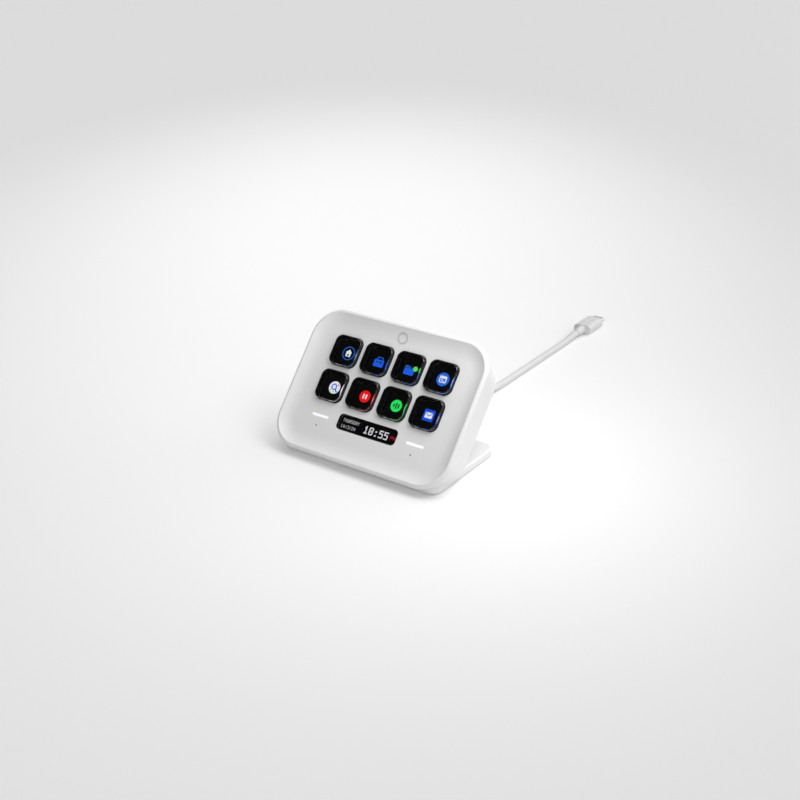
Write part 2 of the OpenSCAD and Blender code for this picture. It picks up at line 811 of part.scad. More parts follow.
// Processor, memory, regulators, ribbon connector and lead header. Each package is a share of
// the largest one and stands at its own share of the board.
module main_board_chips() {
  chips = [[-0.23, 0.1, 1, 1], [0.03, 0.2, 0.57, 0.43], [0.2, 0.1, 0.5, 0.5],
           [0.2, -0.16, 0.23, 0.18], [-0.05, -0.2, 0.36, 0.28], [0.33, 0.24, 0.43, 0.36]];
  color([0.1, 0.1, 0.1]) head() {
    for (c = chips)
      translate([c[0] * board_w - c[2] * chip_w / 2, board_y + c[1] * board_h - c[3] * chip_w / 2,
                 main_low - chip_t])
        cube([c[2] * chip_w, c[3] * chip_w, chip_t]);
    for (x = [0.31, 0.4])
      translate([x * board_w, board_y - board_h / 4, main_low - can_h])
        cylinder(r = can_r, h = can_h);
    translate([header_x - header_w / 2, header_y, main_low - can_h])
      cube([header_w, header_d, can_h]);
    translate([-ribbon_w / 2 - 1, ribbon_y + ribbon_run, main_top])
      cube([ribbon_w + 2, header_d, ribbon_rise * 1.5]);
  }
}

module board_screws() {
  color(steel) head() at(posts, main_low) screw(small_screw_r, 4.5, 1.7, 1);
}

// ---------- lead ----------

// Wires from the gland to the header on the main board.
module inner_lead() {
  y0 = to_head_y(boot_in, boot_z);
  z0 = -(boot_in - head_y) * cos(lean) + (boot_z - head_h) * sin(lean);
  in_z = main_low - can_h / 2;
  route = [[cord_x, y0, z0], [cord_x, y0 - 0.8, z0 + 1], [6.4, y0 - 1.4, z0 + 1.8],
           [3.4, y0 - 1.3, z0 + 1.9], [0, y0 - 0.4, z0 + 1.6], [-2.8, y0 + 1.6, z0 + 1.2],
           [header_x, header_y - 3, in_z], [header_x, header_y, in_z]];
  color([0.3, 0.3, 0.3]) head() tube(route, 1.2);
}

module lead_clamp() {
  color([0.25, 0.25, 0.26]) difference() {
    translate([cord_x - gland_half, collar_y - 1, gland_top])
      cube([2 * gland_half, collar_t + 2, clamp_t]);
    for (s = [-1, 1])
      translate([cord_x + s * clamp_screw_x, collar_y + collar_t / 2, gland_top - 1])
        cylinder(r = small_screw_r + fit, h = clamp_t + 2);
  }
}

module clamp_screws() {
  color(steel) for (s = [-1, 1])
    translate([cord_x + s * clamp_screw_x, collar_y + collar_t / 2, gland_top + clamp_t])
      mirror([0, 0, 1]) screw(small_screw_r, clamp_t + 3, 1.6, clamp_head_t);
}

// The strain relief: a neck and a collar in the gland, then a ribbed taper.
module lead_boot() {
  out = back_y(boot_z, 0) + 3;
  slim = cord_d / 2 + 0.4;
  ribs = 5;
  rib_pitch = (boot_out - out - 3) / ribs;
  color(cord_grey) translate([cord_x, 0, boot_z]) rotate([-90, 0, 0]) difference() {
    union() {
      translate([0, 0, boot_in]) cylinder(r = neck_r, h = out - boot_in + eps);
      translate([0, 0, collar_y]) cylinder(r = collar_r, h = collar_t);
      translate([0, 0, out]) cylinder(r1 = boot_r, r2 = slim, h = boot_out - out);
    }
    for (k = [1 : ribs])
      translate([0, 0, out + k * rib_pitch]) difference() {
        cylinder(r = boot_r + 1, h = 0.8);
        translate([0, 0, -1]) cylinder(r = cord_d / 2 + 0.2, h = 3);
      }
  }
}

module cord_lead() {
  color(cord_grey) tube(lead_route, cord_d / 2);
}

// The outer shape of the coil: two layers of turns side by side.
module cord_coil() {
  width = coil_turns * cord_d;
  color(cord_grey) translate([coil_c.x, coil_c.y, coil_z]) rotate_extrude($fn = 96)
    translate([coil_out + cord_d / 2 - width / 2, cord_d]) rounded(width, 2 * cord_d, cord_d / 2);
}

module cord_tail() {
  color(cord_grey) tube(tail_route, cord_d / 2);
}

// A strap round the far side of the coil.
module cord_tie() {
  width = 6;
  high = coil_z + 2 * cord_d + fit;
  outer = coil_out + cord_d / 2 + slide;
  inner = coil_out + cord_d / 2 - coil_turns * cord_d - 0.5;
  color([0.2, 0.2, 0.22]) translate([coil_c.x, coil_c.y, 0]) difference() {
    translate([-outer - tie_t, -width / 2, 0])
      cube([outer - inner + 2 * tie_t, width, high + tie_t]);
    translate([-outer, -width, tie_t]) cube([outer - inner, 2 * width, high - tie_t]);
  }
}

module plug_body() {
  color(cord_grey) translate([cord_x, plug_y, plug_z]) {
    rotate([-90, 0, 0]) cylinder(r1 = cord_d / 2 + 0.3, r2 = plug_z - 0.2, h = plug_boot + 1);
    translate([0, plug_boot + plug_len, 0]) rotate([90, 0, 0])
      linear_extrude(plug_len) rounded(plug_w, plug_h, plug_h / 2 - 0.4);
  }
}

module plug_shell() {
  color(steel) translate([cord_x, plug_y + plug_boot + plug_len, plug_z]) rotate([-90, 0, 0])
    difference() {
      linear_extrude(tongue_len) rounded(8.3, 2.5, 1.2);
      translate([0, 0, 0.6]) linear_extrude(tongue_len) difference() {
        rounded(7.6, 1.8, 0.85);
        square([6.6, 0.7], center = true);
      }
    }
}

front_shell();
face_ring();
rear_shell();
base_shell();
base_weight();
base_pad();
base_screws();
key_cap(1);  // key_cap_1
key_cap(2);  // key_cap_2
key_cap(3);  // key_cap_3
key_cap(4);  // key_cap_4
key_cap(5);  // key_cap_5
key_cap(6);  // key_cap_6
key_cap(7);  // key_cap_7
key_cap(8);  // key_cap_8
dome_sheet();
key_board();
display_glass();
display_backlight();
display_carrier();
carrier_screws();
display_ribbon();
info_window();
info_display();
light_guide_left();
light_guide_right();
touch_board_left();
touch_board_right();
touch_pads();
main_board();
main_board_chips();
board_screws();
inner_lead();
lead_clamp();
clamp_screws();
lead_boot();
cord_lead();
cord_coil();
cord_tail();
cord_tie();
plug_body();
plug_shell();
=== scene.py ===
"""Looks of a leaning desk keypad: camera, lead, clear keys, display pictures, finishes and studio."""

from __future__ import annotations

import logging
import math
from dataclasses import dataclass
from enum import Enum
from typing import ClassVar, Iterable, Sequence

import bpy
from mathutils import Matrix, Vector

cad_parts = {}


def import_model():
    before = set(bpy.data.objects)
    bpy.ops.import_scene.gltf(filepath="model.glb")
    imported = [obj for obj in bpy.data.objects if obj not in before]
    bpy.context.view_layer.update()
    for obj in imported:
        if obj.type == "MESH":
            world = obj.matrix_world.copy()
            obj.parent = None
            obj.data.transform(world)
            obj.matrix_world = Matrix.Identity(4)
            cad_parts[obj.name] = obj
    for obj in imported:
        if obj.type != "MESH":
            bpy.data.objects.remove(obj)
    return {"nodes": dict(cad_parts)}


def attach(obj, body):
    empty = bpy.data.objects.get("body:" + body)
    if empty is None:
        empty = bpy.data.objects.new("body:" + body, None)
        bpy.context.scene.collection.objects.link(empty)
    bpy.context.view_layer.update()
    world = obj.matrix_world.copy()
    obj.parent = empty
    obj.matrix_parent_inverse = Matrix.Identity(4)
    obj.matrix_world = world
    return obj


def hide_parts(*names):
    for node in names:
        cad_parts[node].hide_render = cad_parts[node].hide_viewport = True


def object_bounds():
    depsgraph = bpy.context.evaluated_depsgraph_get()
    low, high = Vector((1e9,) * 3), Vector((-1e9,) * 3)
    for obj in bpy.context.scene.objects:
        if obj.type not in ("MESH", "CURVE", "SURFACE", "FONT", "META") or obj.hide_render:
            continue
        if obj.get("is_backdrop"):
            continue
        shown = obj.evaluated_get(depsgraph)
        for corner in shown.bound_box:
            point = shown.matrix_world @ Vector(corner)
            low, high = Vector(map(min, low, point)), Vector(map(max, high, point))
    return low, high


log = logging.getLogger("keypad")

Point2 = tuple[float, float]
Point3 = tuple[float, float, float]
Colour = tuple[float, float, float]
Node = bpy.types.Node
Piece = bpy.types.Object
Socket = bpy.types.NodeSocket
Tree = bpy.types.NodeTree

MM = 0.001
KEY_COUNT = 8
PLAIN_WHITE: Colour = (1.0, 1.0, 1.0)


def rgba(colour: Colour) -> tuple[float, ...]:
    """Return a colour with full alpha."""
    return (*colour, 1.0)


# -------- frame of the leaning head


@dataclass(frozen=True)
class Head:
    """The leaning head's own frame, in millimetres: x right, y up the face, z out of the face."""

    lean_deg: float = 40.0
    y: float = -7.967
    z: float = 35.254
    cap_top: float = -0.3
    pipe_low: float = -6.9
    glass_top: float = -8.0
    flange_top: float = -4.8
    flange_low: float = -5.6
    info_top: float = -4.5
    grid_up: float = 7.75
    pitch: float = 19.45
    bar_y: float = -18.25
    light_x: float = 29.2
    touch_y: float = -23.95

    def matrix(self, x: float, y: float) -> Matrix:
        """Return the matrix from millimetres round a spot on the face to the frame's metres."""
        lean = Matrix.Rotation(math.radians(90 - self.lean_deg), 4, "X")
        stand = Matrix.Scale(MM, 4) @ Matrix.Translation((0, self.y, self.z))
        return stand @ lean @ Matrix.Translation((x, y, 0))

    def key_centre(self, number: int) -> Point2:
        """Return the centre of a key on the face.

        Args:
            number: the key's number, 1 to 8, row by row from the upper left.

        Returns:
            Its x and y in head millimetres.
        """
        column, row = (number - 1) % 4, (number - 1) // 4
        return (column - 1.5) * self.pitch, self.grid_up + (0.5 - row) * self.pitch


HEAD = Head()


# -------- meshes


class MeshDraft:
    """Points and faces that become one mesh object, with a material slot for each face."""

    def __init__(self) -> None:
        """Start with no points and no faces."""
        self.points: list[Point3] = []
        self.faces: list[tuple[int, ...]] = []
        self.slots: list[int] = []

    def ring(self, loop: Iterable[Point3]) -> list[int]:
        """Add a loop of points and return their indices."""
        start = len(self.points)
        self.points.extend(tuple(p) for p in loop)
        return list(range(start, len(self.points)))

    def face(self, corners: Sequence[int], slot: int = 0) -> None:
        """Add one face."""
        self.faces.append(tuple(corners))
        self.slots.append(slot)

    def bridge(self, low: Sequence[int], high: Sequence[int], slot: int = 0) -> None:
        """Join two loops of as many points with a band of faces."""
        n = len(low)
        for i in range(n):
            j = (i + 1) % n
            self.face((low[i], low[j], high[j], high[i]), slot)

    def loft(self, loops: Sequence[Sequence[Point3]], slot: int = 0, caps: bool = True) -> None:
        """Join loops in order into a skin.

        Args:
            loops: closed loops with as many points each, seen counter-clockwise from above.
            slot: material slot of the faces.
            caps: close the first and the last loop with a face each.
        """
        rings = [self.ring(loop) for loop in loops]
        for low, high in zip(rings, rings[1:]):
            self.bridge(low, high, slot)
        if caps:
            self.face(rings[0][::-1], slot)
            self.face(rings[-1], slot)

    def wrap(self, loops: Sequence[Iterable[Point3]], slot: int = 0) -> None:
        """Join loops in order, and the last with the first, into a closed band."""
        rings = [self.ring(loop) for loop in loops]
        for low, high in zip(rings, [*rings[1:], rings[0]]):
            self.bridge(low, high, slot)

    def build(
        self, name: str, materials: Sequence[bpy.types.Material],
        place: Matrix | None = None, sharp_deg: float | None = 35.0,
    ) -> Piece:
        """Make the object.

        Args:
            name: the piece's name.
            materials: one material for each slot.
            place: matrix that the points go through, from the draft's units to metres.
            sharp_deg: edges sharper than this stay crisp, or None for flat faces.

        Returns:
            The new object, with its place in its mesh.
        """
        mesh = bpy.data.meshes.new(name)
        mesh.from_pydata([tuple(p) for p in self.points], [], self.faces)
        for material in materials:
            mesh.materials.append(material)
        mesh.polygons.foreach_set("material_index", self.slots)
        if place is not None:
            mesh.transform(place)
        mesh.polygons.foreach_set("use_smooth", [sharp_deg is not None] * len(mesh.polygons))
        mesh.update()
        if sharp_deg is not None:
            mesh.set_sharp_from_angle(angle=math.radians(sharp_deg))
        piece = bpy.data.objects.new(name, mesh)
        bpy.context.scene.collection.objects.link(piece)
        return piece


def rounded_loop(w: float, h: float, r: float, z: float, steps: int = 10) -> list[Point3]:
    """Return a rectangle with round corners.

    Args:
        w: width.
        h: height.
        r: corner radius.
        z: level of the loop.
        steps: segments in each corner.

    Returns:
        Its points, counter-clockwise.
    """
    loop = []
    for corner in range(4):
        sx, sy = (1, -1, -1, 1)[corner], (1, 1, -1, -1)[corner]
        for k in range(steps + 1):
            a = math.pi / 2 * (corner + k / steps)
            x, y = sx * (w / 2 - r) + r * math.cos(a), sy * (h / 2 - r) + r * math.sin(a)
            loop.append((x, y, z))
    return loop


def disc(radius: float, at: Point2 = (0.0, 0.0), sides: int = 40) -> list[Point2]:
    """Return the outline of a disc."""
    turns = [2 * math.pi * k / sides for k in range(sides)]
    return [(at[0] + radius * math.cos(turn), at[1] + radius * math.sin(turn)) for turn in turns]


def slab(w: float, h: float, r: float, at: Point2 = (0.0, 0.0)) -> list[Point2]:
    """Return the outline of a rectangle with round corners."""
    return [(x + at[0], y + at[1]) for x, y, _ in rounded_loop(w, h, r, 0, 6)]


def bar(start: Point2, end: Point2, width: float) -> list[Point2]:
    """Return the outline of a straight stroke with square ends that reach half its width past it."""
    a, b = Vector(start), Vector(end)
    along = (b - a).normalized() * width / 2
    side = Vector((-along.y, along.x))
    corners = (a - along - side, b + along - side, b + along + side, a - along + side)
    return [(c.x, c.y) for c in corners]


# -------- shader nodes


class Effect(Enum):
    """The shared effects that finishes are made with."""

    MOULD_GRAIN = "mould_grain"
    BRUSH_LINES = "brush_lines"
    HANDLING = "handling"
    PIXEL_GRID = "pixel_grid"
    WEAVE = "weave"


class Wiring:
    """A node tree with short calls that place nodes and fill their inputs."""

    def __init__(self, tree: Tree) -> None:
        """Work on one tree."""
        self.tree = tree

    def into(self, node: Node, *values: object, **inputs: object) -> None:
        """Join a node's inputs to sockets, or set them to plain values.

        Args:
            node: the node.
            values: what its first inputs get, in order.
            inputs: what its inputs get by name, with _ for a space.
        """
        named = {name.replace("_", " "): value for name, value in inputs.items()}
        for key, value in [*enumerate(values), *named.items()]:
            if isinstance(value, Socket):
                self.tree.links.new(value, node.inputs[key])
            else:
                node.inputs[key].default_value = value

    def add(
        self, kind: str, *values: object, setup: dict[str, object] | None = None, **inputs: object
    ) -> Node:
        """Place a node and fill its inputs.

        Args:
            kind: its type, without the ShaderNode in front.
            values: what its first inputs get, in order.
            setup: attributes of the node itself, set before its inputs.
            inputs: what its inputs get by name.

        Returns:
            The node.
        """
        node = self.tree.nodes.new(f"ShaderNode{kind}")
        for name, value in (setup or {}).items():
            setattr(node, name, value)
        self.into(node, *values, **inputs)
        return node

    def math(self, operation: str, *values: object, clamp: bool = False) -> Socket:
        """Return the result of a sum on sockets and values."""
        setup = {"operation": operation, "use_clamp": clamp}
        return self.add("Math", *values, setup=setup).outputs[0]

    def vector(self, operation: str, *values: object, out: str = "Vector", **inputs: object) -> Socket:
        """Return one result of a sum on vectors."""
        return self.add("VectorMath", *values, setup={"operation": operation}, **inputs).outputs[out]

    def remap(self, value: Socket, *limits: object, smooth: bool = False) -> Socket:
        """Return a value moved to another range.

        Args:
            value: the value.
            limits: the range's ends that it comes from, then those that it goes to.
            smooth: ease in and out at both ends.

        Returns:
            The moved value.
        """
        kind = "SMOOTHSTEP" if smooth else "LINEAR"
        return self.add("MapRange", value, *limits, setup={"interpolation_type": kind}).outputs["Result"]

    def blend(self, factor: object, a: object, b: object) -> Socket:
        """Return a mix of two colours."""
        return self.add("Mix", setup={"data_type": "RGBA"}, Factor=factor, A=a, B=b).outputs["Result"]

    def bump(self, height: Socket, strength: float, depth: float) -> Socket:
        """Return a normal from a height whose depth is in metres."""
        return self.add("Bump", Height=height, Strength=strength, Distance=depth).outputs["Normal"]

    def effect(self, effect: Effect, where: Socket, **inputs: object) -> dict[str, Socket]:
        """Place a shared effect with its own values and return what it puts out, by name."""
        setup = {"node_tree": Effects.get(effect)}
        return dict(self.add("Group", setup=setup, Vector=where, **inputs).outputs.items())


class GroupWiring(Wiring):
    """The node tree of a shared effect, with named inputs and outputs."""

    KINDS = {1: "NodeSocketFloat", 3: "NodeSocketVector", 4: "NodeSocketColor"}

    def take_in(self, **inputs: object) -> dict[str, Socket]:
        """Make the group's inputs from their defaults and return them by name."""
        for name, value in inputs.items():
            kind = self.KINDS[len(value) if isinstance(value, tuple) else 1]
            made = self.tree.interface.new_socket(name, in_out="INPUT", socket_type=kind)
            made.default_value = value
        return dict(self.tree.nodes.new("NodeGroupInput").outputs.items())

    def put_out(self, **outputs: Socket) -> None:
        """Make the group's outputs: a colour where it is named so, else a value."""
        for name in outputs:
            kind = self.KINDS[4 if name == "Colour" else 1]
            self.tree.interface.new_socket(name, in_out="OUTPUT", socket_type=kind)
        self.into(self.tree.nodes.new("NodeGroupOutput"), **outputs)


class Effects:
    """Builds each shared effect once, as a shader node group."""

    ORIGIN = (0.0, 0.0, 0.0)
    made: dict[Effect, Tree] = {}

    @classmethod
    def get(cls, effect: Effect) -> Tree:
        """Return the group of an effect, built the first time by the method of its name."""
        if effect not in cls.made:
            cls.made[effect] = bpy.data.node_groups.new(effect.value, "ShaderNodeTree")
            getattr(cls, effect.value)(GroupWiring(cls.made[effect]))
        return cls.made[effect]

    @classmethod
    def mould_grain(cls, wire: GroupWiring) -> None:
        """Fine spark-eroded grain of a moulding, with a faint cloudiness in colour and gloss."""
        given = wire.take_in(
            Vector=cls.ORIGIN, First=(0.8, 0.8, 0.8, 1.0), Second=(0.78, 0.78, 0.78, 1.0),
            Roughness=0.4, Variation=0.05, Grain=3500.0,
        )
        where, grain = given["Vector"], given["Grain"]
        cloud = wire.add("TexNoise", Vector=where, Scale=28.0, Detail=3.0, Roughness=0.55).outputs["Fac"]
        fine = wire.add("TexNoise", Vector=where, Scale=grain, Detail=2.0, Roughness=0.6).outputs["Fac"]
        cells = wire.add("TexVoronoi", setup={"feature": "SMOOTH_F1"}, Vector=where, Scale=grain)
        uneven = wire.math("MULTIPLY", wire.math("SUBTRACT", cloud, 0.5), given["Variation"])
        wire.put_out(
            Colour=wire.blend(cloud, given["First"], given["Second"]),
            Roughness=wire.math("ADD", uneven, given["Roughness"], clamp=True),
            Height=wire.math("MULTIPLY_ADD", cells.outputs["Distance"], 0.6, fine),
        )

    @classmethod
    def brush_lines(cls, wire: GroupWiring) -> None:
        """Fine lines of drawn or brushed metal along one direction."""
        given = wire.take_in(
            Vector=cls.ORIGIN, Colour=(0.6, 0.6, 0.6, 1.0), Roughness=0.3, Stretch=(40.0, 3000.0, 3000.0)
        )
        drawn = wire.vector("MULTIPLY", given["Vector"], given["Stretch"])
        lines = wire.add("TexNoise", Vector=drawn, Scale=1.0, Detail=4.0, Roughness=0.7).outputs["Fac"]
        dull = wire.remap(lines, 0.0, 1.0, -0.08, 0.14)
        shade = wire.remap(lines, 0.0, 1.0, 0.88, 1.08)
        wire.put_out(
            Colour=wire.vector("SCALE", given["Colour"], Scale=shade),
            Roughness=wire.math("ADD", dull, given["Roughness"], clamp=True),
            Height=lines,
        )

    @classmethod
    def handling(cls, wire: GroupWiring) -> None:
        """Faint smears and dust on a polished surface: a gloss that varies and a sparse mask."""
        given = wire.take_in(Vector=cls.ORIGIN, Roughness=0.05, Smear=0.06)
        where = given["Vector"]
        smear = wire.add("TexNoise", Vector=where, Scale=90.0, Detail=5.0, Distortion=1.6).outputs["Fac"]
        specks = wire.add("TexVoronoi", Vector=where, Scale=900.0).outputs["Distance"]
        marks = wire.remap(smear, 0.45, 0.75, 0.0, 1.0, smooth=True)
        wire.put_out(
            Roughness=wire.math("MULTIPLY_ADD", marks, given["Smear"], given["Roughness"], clamp=True),
            Dust=wire.math("LESS_THAN", specks, 0.035),
        )

    @classmethod
    def pixel_grid(cls, wire: GroupWiring) -> None:
        """Dots of a display: a colour dimmed a little between its pixels."""
        given = wire.take_in(Vector=cls.ORIGIN, Colour=(1.0, 1.0, 1.0, 1.0), Pitch=9000.0, Gap=0.25)
        dots = wire.add("TexVoronoi", Vector=given["Vector"], Scale=given["Pitch"], Randomness=0.0)
        between = wire.math("SUBTRACT", 1.0, given["Gap"])
        edge = wire.remap(dots.outputs["Distance"], 0.35, 0.6, 1.0, between, smooth=True)
        wire.put_out(Colour=wire.vector("SCALE", given["Colour"], Scale=edge))

    @classmethod
    def weave(cls, wire: GroupWiring) -> None:
        """Crossed threads of a strap: colour with painted shade where the weave is low, and height for the
        bump.
        """
        given = wire.take_in(Vector=cls.ORIGIN, Colour=(0.1, 0.1, 0.1, 1.0), Threads=1500.0)
        shared = {"Vector": given["Vector"], "Scale": given["Threads"], "Distortion": 0.6}
        threads = [
            wire.add("TexWave", setup={"bands_direction": way}, **shared).outputs["Fac"] for way in "YX"
        ]
        height = wire.math("MULTIPLY", *threads)
        # Painted shade: the colour is darker where the threads are low and lighter where they are high.
        shade = wire.remap(height, 0.0, 1.0, 0.6, 1.25)
        wire.put_out(Colour=wire.vector("SCALE", given["Colour"], Scale=shade), Height=height)


# -------- finishes


@dataclass(frozen=True)
class Finish:
    """A surface finish; its subclasses say how the shader is fed."""

    name: str
    colour: Colour
    roughness: float = 0.4

    made: ClassVar[dict[str, bpy.types.Material]] = {}

    def material(self) -> bpy.types.Material:
        """Return the finish's material, made the first time."""
        if self.name not in self.made:
            made = self.made[self.name] = bpy.data.materials.new(self.name)
            made.use_nodes = True
            made.diffuse_color = rgba(self.colour)
            wire = Wiring(made.node_tree)
            where = wire.add("TexCoord").outputs["Object"]
            self.feed(wire, made.node_tree.nodes["Principled BSDF"], where)
        return self.made[self.name]

    def feed(self, wire: Wiring, shader: Node, where: Socket) -> None:
        """Fill the shader's inputs.

        Args:
            wire: the material's nodes.
            shader: the shader.
            where: the place on the piece.
        """
        raise NotImplementedError


@dataclass(frozen=True)
class Moulded(Finish):
    """Moulded plastic or rubber with a fine even grain."""

    second: Colour = (0.8, 0.8, 0.8)
    grain: float = 3500.0
    bump_strength: float = 0.12
    bump_depth: float = 0.00004
    variation: float = 0.08

    def feed(self, wire: Wiring, shader: Node, where: Socket) -> None:
        """Feed colour, roughness and bump from the mould grain."""
        grain = wire.effect(
            Effect.MOULD_GRAIN, where, First=rgba(self.colour), Second=rgba(self.second),
            Roughness=self.roughness, Variation=self.variation, Grain=self.grain,
        )
        wire.into(
            shader, Base_Color=grain["Colour"], Roughness=grain["Roughness"],
            Normal=wire.bump(grain["Height"], self.bump_strength, self.bump_depth),
        )


@dataclass(frozen=True)
class Metal(Finish):
    """Bare or plated metal with fine lines."""

    stretch: Point3 = (40.0, 3000.0, 3000.0)
    bump_strength: float = 0.08
    bump_depth: float = 0.00003

    def feed(self, wire: Wiring, shader: Node, where: Socket) -> None:
        """Feed colour, roughness and bump from the brushed lines."""
        lines = wire.effect(
            Effect.BRUSH_LINES, where,
            Colour=rgba(self.colour), Roughness=self.roughness, Stretch=self.stretch,
        )
        wire.into(
            shader, Metallic=1.0, Base_Color=lines["Colour"], Roughness=lines["Roughness"],
            Normal=wire.bump(lines["Height"], self.bump_strength, self.bump_depth),
        )


@dataclass(frozen=True)
class Clear(Finish):
    """Polished clear plastic."""

    ior: float = 1.49
    smear: float = 0.015

    def feed(self, wire: Wiring, shader: Node, where: Socket) -> None:
        """Feed roughness from the handling marks; the rest is plain."""
        marks = wire.effect(Effect.HANDLING, where, Roughness=self.roughness, Smear=self.smear)
        wire.into(
            shader, Base_Color=rgba(self.colour), Roughness=marks["Roughness"],
            Transmission_Weight=1.0, IOR=self.ior,
        )


@dataclass(frozen=True)
class Glossy(Finish):
    """Dark polished glass or film with faint handling marks."""

    coat: float = 0.6
    coat_roughness: float = 0.04
    specular: float = 0.5
    smear: float = 0.08
    dust: float = 0.06
    under_dust: float = 0.9

    def feed(self, wire: Wiring, shader: Node, where: Socket) -> None:
        """Feed roughness and a trace of dust in the colour."""
        marks = wire.effect(Effect.HANDLING, where, Roughness=self.roughness, Smear=self.smear)
        dusty = tuple(self.dust + self.under_dust * c for c in self.colour)
        wire.into(
            shader, Base_Color=wire.blend(marks["Dust"], rgba(self.colour), rgba(dusty)),
            Roughness=marks["Roughness"], Specular_IOR_Level=self.specular,
            Coat_Weight=self.coat, Coat_Roughness=self.coat_roughness,
        )


@dataclass(frozen=True)
class Lit(Finish):
    """Pixels of a display that shine in one colour."""

    strength: float = 1.0
    unlit: Colour = (0.01, 0.01, 0.01)
    specular: float = 0.2

    def feed(self, wire: Wiring, shader: Node, where: Socket) -> None:
        """Feed the emission colour from the pixel grid."""
        grid = wire.effect(Effect.PIXEL_GRID, where, Colour=rgba(self.colour))
        wire.into(
            shader, Base_Color=rgba(self.unlit), Roughness=self.roughness,
            Specular_IOR_Level=self.specular,
            Emission_Color=grid["Colour"], Emission_Strength=self.strength,
        )


@dataclass(frozen=True)
class Milky(Finish):
    """A milky light guide lit from behind."""

    strength: float = 1.0
    clouded: float = 0.97
    variation: float = 0.05
    grain: float = 5000.0

    def feed(self, wire: Wiring, shader: Node, where: Socket) -> None:
        """Feed colour and glow from the mould grain."""
        cloudy = tuple(self.clouded * c for c in self.colour)
        grain = wire.effect(
            Effect.MOULD_GRAIN, where, First=rgba(self.colour), Second=rgba(cloudy),
            Roughness=self.roughness, Variation=self.variation, Grain=self.grain,
        )
        wire.into(
            shader, Base_Color=grain["Colour"], Roughness=grain["Roughness"],
            Emission_Color=grain["Colour"], Emission_Strength=self.strength,
        )


@dataclass(frozen=True)
class Woven(Finish):
    """A woven strap."""

    sheen: float = 0.3
    bump_strength: float = 0.6
    bump_depth: float = 0.0002

    def feed(self, wire: Wiring, shader: Node, where: Socket) -> None:
        """Feed colour, with its painted shade between the threads, and bump from the weave."""
        threads = wire.effect(Effect.WEAVE, where, Colour=rgba(self.colour))
        wire.into(
            shader, Base_Color=threads["Colour"], Roughness=self.roughness, Sheen_Weight=self.sheen,
            Normal=wire.bump(threads["Height"], self.bump_strength, self.bump_depth),
        )


SHELL_WHITE = Moulded("shell_white", (0.83, 0.83, 0.825), 0.38, second=(0.81, 0.812, 0.81))
FOOT_WHITE = Moulded("foot_white", (0.84, 0.84, 0.835), 0.42, second=(0.82, 0.822, 0.82))
RING_SATIN = Moulded("ring_satin", (0.62, 0.62, 0.62), 0.22, second=(0.6, 0.6, 0.6))
KEY_CLEAR = Clear("cap_clear", (0.97, 0.97, 0.98), 0.02)
PANE_CLEAR = Clear("pane_clear", (0.9, 0.9, 0.92), 0.02)
DISPLAY_BLACK = Glossy("display_black", (0.003, 0.003, 0.0035), 0.1, coat=0.1, specular=0.1)
BORDER_BLACK = Glossy("border_black", (0.006, 0.006, 0.007), 0.3, coat=0.0, specular=0.2)
DARK_MOULDING = Moulded("dark_moulding", (0.03, 0.03, 0.032), 0.5, second=(0.036, 0.036, 0.038))
SILICONE_DARK = Moulded(
    "silicone_dark", (0.02, 0.02, 0.022), 0.62, second=(0.026, 0.026, 0.028), grain=1800.0
)
FOOT_RUBBER = Moulded("foot_rubber", (0.045, 0.045, 0.047), 0.72, second=(0.055, 0.055, 0.057), grain=1600.0)
BACKLIGHT_WHITE = Moulded("backlight_white", (0.75, 0.75, 0.74), 0.5, second=(0.72, 0.72, 0.71))
BOARD_GREEN = Moulded("board_green", (0.02, 0.12, 0.06), 0.3, second=(0.025, 0.14, 0.07), grain=900.0)
BOARD_BLACK = Moulded("board_black", (0.012, 0.013, 0.013), 0.35, second=(0.018, 0.019, 0.019), grain=900.0)
CHIP_BLACK = Moulded("chip_black", (0.02, 0.02, 0.021), 0.45, second=(0.028, 0.028, 0.029))
FILM_AMBER = Moulded("film_amber", (0.5, 0.22, 0.05), 0.3, second=(0.46, 0.2, 0.05))
ZINC_STEEL = Metal("zinc_steel", (0.6, 0.61, 0.63), 0.32)
PLUG_STEEL = Metal("plug_steel", (0.66, 0.67, 0.69), 0.22, stretch=(3000.0, 60.0, 3000.0))
LIGHT_GUIDE = Milky("light_guide", (0.96, 0.97, 1.0), 0.45, strength=0.3)
TOUCH_DARK = Moulded("touch_dark", (0.2, 0.2, 0.205), 0.5, second=(0.24, 0.24, 0.245))
LEAD_GREY = Moulded("lead_grey", (0.74, 0.74, 0.735), 0.45, second=(0.71, 0.71, 0.705), grain=2500.0)
PLUG_GREY = Moulded("plug_grey", (0.76, 0.76, 0.755), 0.42, second=(0.73, 0.73, 0.725))
STRAP_DARK = Woven("strap_dark", (0.035, 0.035, 0.038), 0.8)


class Tone(Enum):
    """Colours that the displays shine in."""

    WHITE = Lit("lit_white", (0.93, 0.95, 1.0))
    GREY = Lit("lit_grey", (0.86, 0.86, 0.88))
    BRIGHT = Lit("lit_bright", (0.86, 0.87, 0.88))
    NAVY = Lit("lit_navy", (0.015, 0.11, 0.52))
    ROYAL = Lit("lit_royal", (0.004, 0.085, 0.78))
    BLUE = Lit("lit_blue", (0.008, 0.125, 0.9))
    SKY = Lit("lit_sky", (0.02, 0.16, 0.84))
    RED = Lit("lit_red", (0.95, 0.006, 0.008))
    RUBY = Lit("lit_ruby", (0.5, 0.008, 0.025))
    GREEN = Lit("lit_green", (0.02, 0.95, 0.13))
    LEAF = Lit("lit_leaf", (0.11, 0.86, 0.12))
    AMBER = Lit("lit_amber", (0.9, 0.42, 0.01))
    DARK = Lit("lit_dark", (0.003, 0.01, 0.02))


# -------- camera


